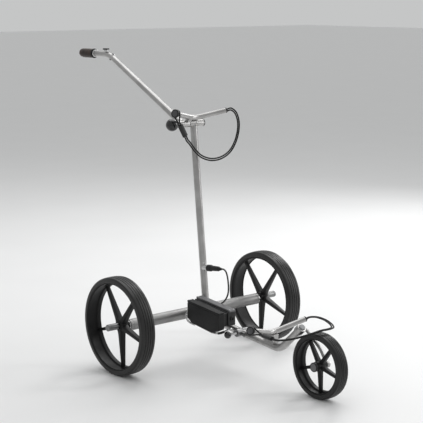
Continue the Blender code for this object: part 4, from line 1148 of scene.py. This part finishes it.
# ---- handle ----
def make_handle():
    grip_y = HINGE.y + (GRIP_Z - HINGE.z) / math.tan(HANDLE_PITCH)
    bend = fillet((HANDLE_X, grip_y, GRIP_Z), HANDLE_ALONG, (0, 1, 0), HANDLE_BEND, 16)
    path = [
        HANDLE_ROOT + HANDLE_ALONG * 0.007, HANDLE_ROOT + HANDLE_ALONG * 0.1,
        HANDLE_ROOT + HANDLE_ALONG * 0.2, *bend, Vector((HANDLE_X, GRIP_END_Y - 0.03, GRIP_Z)),
    ]
    radii = [
        HANDLE_RADIUS, HANDLE_RADIUS * 0.975, HANDLE_RADIUS * 0.95, *[HANDLE_END_RADIUS] * len(bend),
        0.0088,
    ]
    piece("handle", pipe(path, radii, 64), TITANIUM, "handle", "handle_tube")
    weld(
        "handle_weld", "handle", HANDLE_ROOT, HANDLE_ALONG, HANDLE_RADIUS - 0.0006, HINGE, X_AXIS,
        BARREL_RADIUS, 0.0011,
    )
    barrel = [(STUD_BORE, -0.064), (0.0102, -0.064), (BARREL_RADIUS, -0.0632), (BARREL_RADIUS, -0.0213),
              (0.0102, -0.0205), (STUD_BORE, -0.0205)]
    ring = lathe(barrel, HINGE, X_AXIS, 64, looped=True, ease=0.0003)
    gusset_x = -0.0262
    v_here = UPPER_V_MIDDLE.lerp(mirrored(UPPER_V_END, -1), gusset_x / -UPPER_V_END.x)
    up = Vector((0, v_here.y - HINGE.y, v_here.z - HINGE.z))
    reach = up.length
    place = placed(Vector((gusset_x, HINGE.y, HINGE.z)) + up.normalized() * (0.003 + reach) / 2, up, X_AXIS)
    gusset = block((0.011, 0.014, reach - 0.009), place)
    piece("handle_barrel", joined(ring, gusset), TITANIUM, "handle", "handle_hinge_barrel")
    make_cradle("upper", "handle", UPPER_V_MIDDLE, UPPER_V_END)
    make_grip()
    make_controls()


def make_grip():
    """The leather sleeve with its stitched seam underneath, the flange ring and the bright ferrule."""
    long = GRIP_END_Y - GRIP_START_Y
    profile = [
        (0, long), (0.0052, long), (0.0095, long - 0.0008), (0.0124, long - 0.0034),
        (0.014, long - 0.009), (0.0146, long * 0.66), (0.0148, long * 0.4), (0.0146, 0.006),
        (0.014, 0.0012), (0.013, 0), (0.0097, 0),
    ]
    foot = (HANDLE_X, GRIP_START_Y, GRIP_Z)
    turned("grip_sleeve", profile, foot, (0, 1, 0), LEATHER, "handle", "handle_grip", steps=72, ease=0.0008)
    ring = mm((9.7, 3.6), (15.2, 3.6), (15.8, 2.6), (15.8, 1.2), (15, 0), (9.7, 0))
    place = (HANDLE_X, GRIP_START_Y - 0.0038, GRIP_Z)
    turned("grip_flange", ring, place, (0, 1, 0), BLACK, "handle", "grip_collar", ease=0.0003, looped=True)
    ferrule = mm((9.2, 0), (11.6, 0), (12.2, 0.8), (12.2, 7.2), (11.6, 8), (9.2, 8))
    place = (HANDLE_X, GRIP_START_Y - 0.0122, GRIP_Z)
    turned("grip_ferrule", ferrule, place, (0, 1, 0), STEEL, "handle", ease=0.0003, looped=True)
    stitches = []
    for i in range(13):
        y = GRIP_START_Y + 0.006 + i * 0.0046
        for side in (-1, 1):
            x, drop = side * 0.0017, math.sqrt(0.01462**2 - 0.0017**2)
            a = Vector((HANDLE_X + x, y, GRIP_Z - drop))
            b = a + Vector((-x * 0.9, 0.0022, -0.00025))
            stitches.append(pipe([a, (a + b) / 2 + Vector((0, 0, -0.0002)), b], 0.00038, 8, chamfer=0.0001))
    piece("grip_stitches", joined(*stitches), CABLE, "handle")


def make_controls():
    """The speed dial with its fluted edge and index mark, the power button in its bezel, and the port."""
    boss = [(0, 0), (0.007, 0), (0.007, DIAL_Z - JOINT_GAP - GRIP_Z - 0.0034 - 0.0012),
            (0.008, DIAL_Z - JOINT_GAP - GRIP_Z - 0.0034), (0, DIAL_Z - JOINT_GAP - GRIP_Z - 0.0034)]
    place = (HANDLE_X, DIAL_Y, GRIP_Z + 0.0034)
    turned("dial_collar", boss, place, (0, 0, 1), STEEL, "handle", "dial_boss", steps=48, ease=0.0003)
    flutes = 36
    rings, reach = [], []
    for size, height, bite in ((0.0104, 0.0, 0), (0.011, 0.0006, 0.0004), (0.011, 0.0034, 0.0004),
                               (0.0104, 0.0044, 0), (0.0096, 0.0047, 0)):
        ring = []
        for i in range(flutes * 4):
            turn = 2 * math.pi * i / (flutes * 4)
            radius = size - bite * (0.5 - 0.5 * math.cos(flutes * turn))
            ring.append(
                Vector(
                    (HANDLE_X + radius * math.cos(turn), DIAL_Y + radius * math.sin(turn), DIAL_Z + height),
                ),
            )
        rings.append(ring)
        reach.append(height)
    piece("dial_disc", loft(rings, reach, 0.07), GLOSS, "speed_dial", "speed_dial")
    mark = block((0.0009, 0.0045, 0.0004), Matrix.Translation((HANDLE_X, DIAL_Y + 0.0064, DIAL_Z + 0.0047)))
    piece("dial_mark", mark, PALE_GREY, "speed_dial", rounding=0.00015)
    cap = mm((0, 11.8), (2.6, 11.8), (3.8, 11), (3.8, 4.5), (0, 4.5))
    turned("button_cap", cap, BUTTON, HANDLE_UP, BLACK, "power_button", "power_button", steps=40, ease=0.0004)
    bezel = mm((4.1, 8.8), (5.8, 8.8), (6.2, 9.4), (5.6, 10.2), (4.6, 10.5), (4.1, 10.2))
    turned("button_bezel", bezel, BUTTON, HANDLE_UP, STEEL, "handle", steps=48, ease=0.0002, looped=True)
    foot = BUTTON + HANDLE_ALONG * 0.004
    port = mm((0, 10.4), (2.2, 10.4), (2.2, 12.2), (3.6, 12.2), (4.8, 11.2), (4.8, 8), (0, 8))
    turned("port_ring", port, foot, -HANDLE_UP, BLACK, "handle", "charging_port", steps=48, ease=0.0002)


# ---- clamps ----
def make_clamp(name, body, centre, knob_x, radius, end_x, waist):
    """A polished ball knob with a flat neck, on a stud that is threaded where it shows."""
    neck = radius * 0.42
    start = math.acos(1 - 1e-5)
    last = math.pi - math.asin(neck / radius)
    profile = [(radius * math.sin(a), radius * math.cos(a)) for a in
               (start + (last - start) * i / 30 for i in range(31))]
    low = profile[-1][1]
    profile += [
        (neck * 0.94, low - 0.0007), (STUD_RADIUS + JOINT_GAP, low - 0.0007),
        (STUD_RADIUS + JOINT_GAP, -radius * 0.43), (0, -radius * 0.43),
    ]
    turned(
        f"{name}_ball_knob", profile, (knob_x, centre.y, centre.z), -X_AXIS, GLOSS, body,
        f"{name}_clamp_knob", steps=72, ease=0,
    )
    first = knob_x + radius * 0.45
    stud = [(0, first), (0.0034, first)]
    step, here = 0.0008, first + 0.0004
    while here < waist:
        stud += [(0.004, here), (0.0036, here + step / 2)]
        here += step
    stud += [(0.004, here), (0.004, end_x - 0.0006), (0.0034, end_x), (0, end_x)]
    turned(
        f"{name}_stud", stud, Vector((0, centre.y, centre.z)), X_AXIS, STEEL, body, f"{name}_clamp_stud",
        steps=32, ease=0, sharp=25,
    )


make_axle()
make_boom()
make_mast()
make_socket()
make_power_unit()
make_tray()
make_rear_wheel("right", -1)
make_rear_wheel("left", 1)
make_front_frame()
make_front_wheel()
make_handle()
make_clamp("upper", "upper_clamp", HINGE, -0.084, 0.0195, 0.0355, -0.064)
make_clamp("lower", "lower_clamp", FOLD, -0.055, 0.011, 0.0215, -0.0225)
for node in ("right_motor", "left_motor", "right_gearbox", "left_gearbox"):
    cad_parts[node].data.materials.clear()
    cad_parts[node].data.materials.append(MOTOR_METAL)


# ---- stage: pale floor, soft lights ----
def make_stage():
    mesh = bpy.data.meshes.new("floor")
    far = 30.0
    mesh.from_pydata([(-far, -far, 0), (far, -far, 0), (far, far, 0), (-far, far, 0)], [], [(0, 1, 2, 3)])
    mesh.materials.append(floor_look())
    floor = bpy.data.objects.new("floor", mesh)
    bpy.context.scene.collection.objects.link(floor)
    world = bpy.data.worlds.new("studio")
    world.use_nodes = True
    world.node_tree.nodes["Background"].inputs["Color"].default_value = (0.93, 0.94, 0.94, 1)
    world.node_tree.nodes["Background"].inputs["Strength"].default_value = 0.6
    bpy.context.scene.world = world
    bpy.context.scene.view_settings.view_transform = "Standard"


def area_light(name, place, target, size, power, size_y=None):
    data = bpy.data.lights.new(name, "AREA")
    data.energy = power
    data.size = size
    if size_y:
        data.shape = "RECTANGLE"
        data.size_y = size_y
    light = bpy.data.objects.new(name, data)
    bpy.context.scene.collection.objects.link(light)
    light.location = place
    light.rotation_mode = "QUATERNION"
    light.rotation_quaternion = (Vector(target) - Vector(place)).to_track_quat("-Z", "Y")


make_stage()
area_light("top", (0.7, 0.9, 3.2), (0, 0, 0.3), 3.0, 46.0)
area_light("back_right", (2.6, 1.0, 1.9), (0, 0, 0.4), 1.0, 26.0, 2.2)
area_light("right_strip", (2.4, -1.6, 1.7), (0, 0, 0.4), 0.5, 26.0, 2.6)
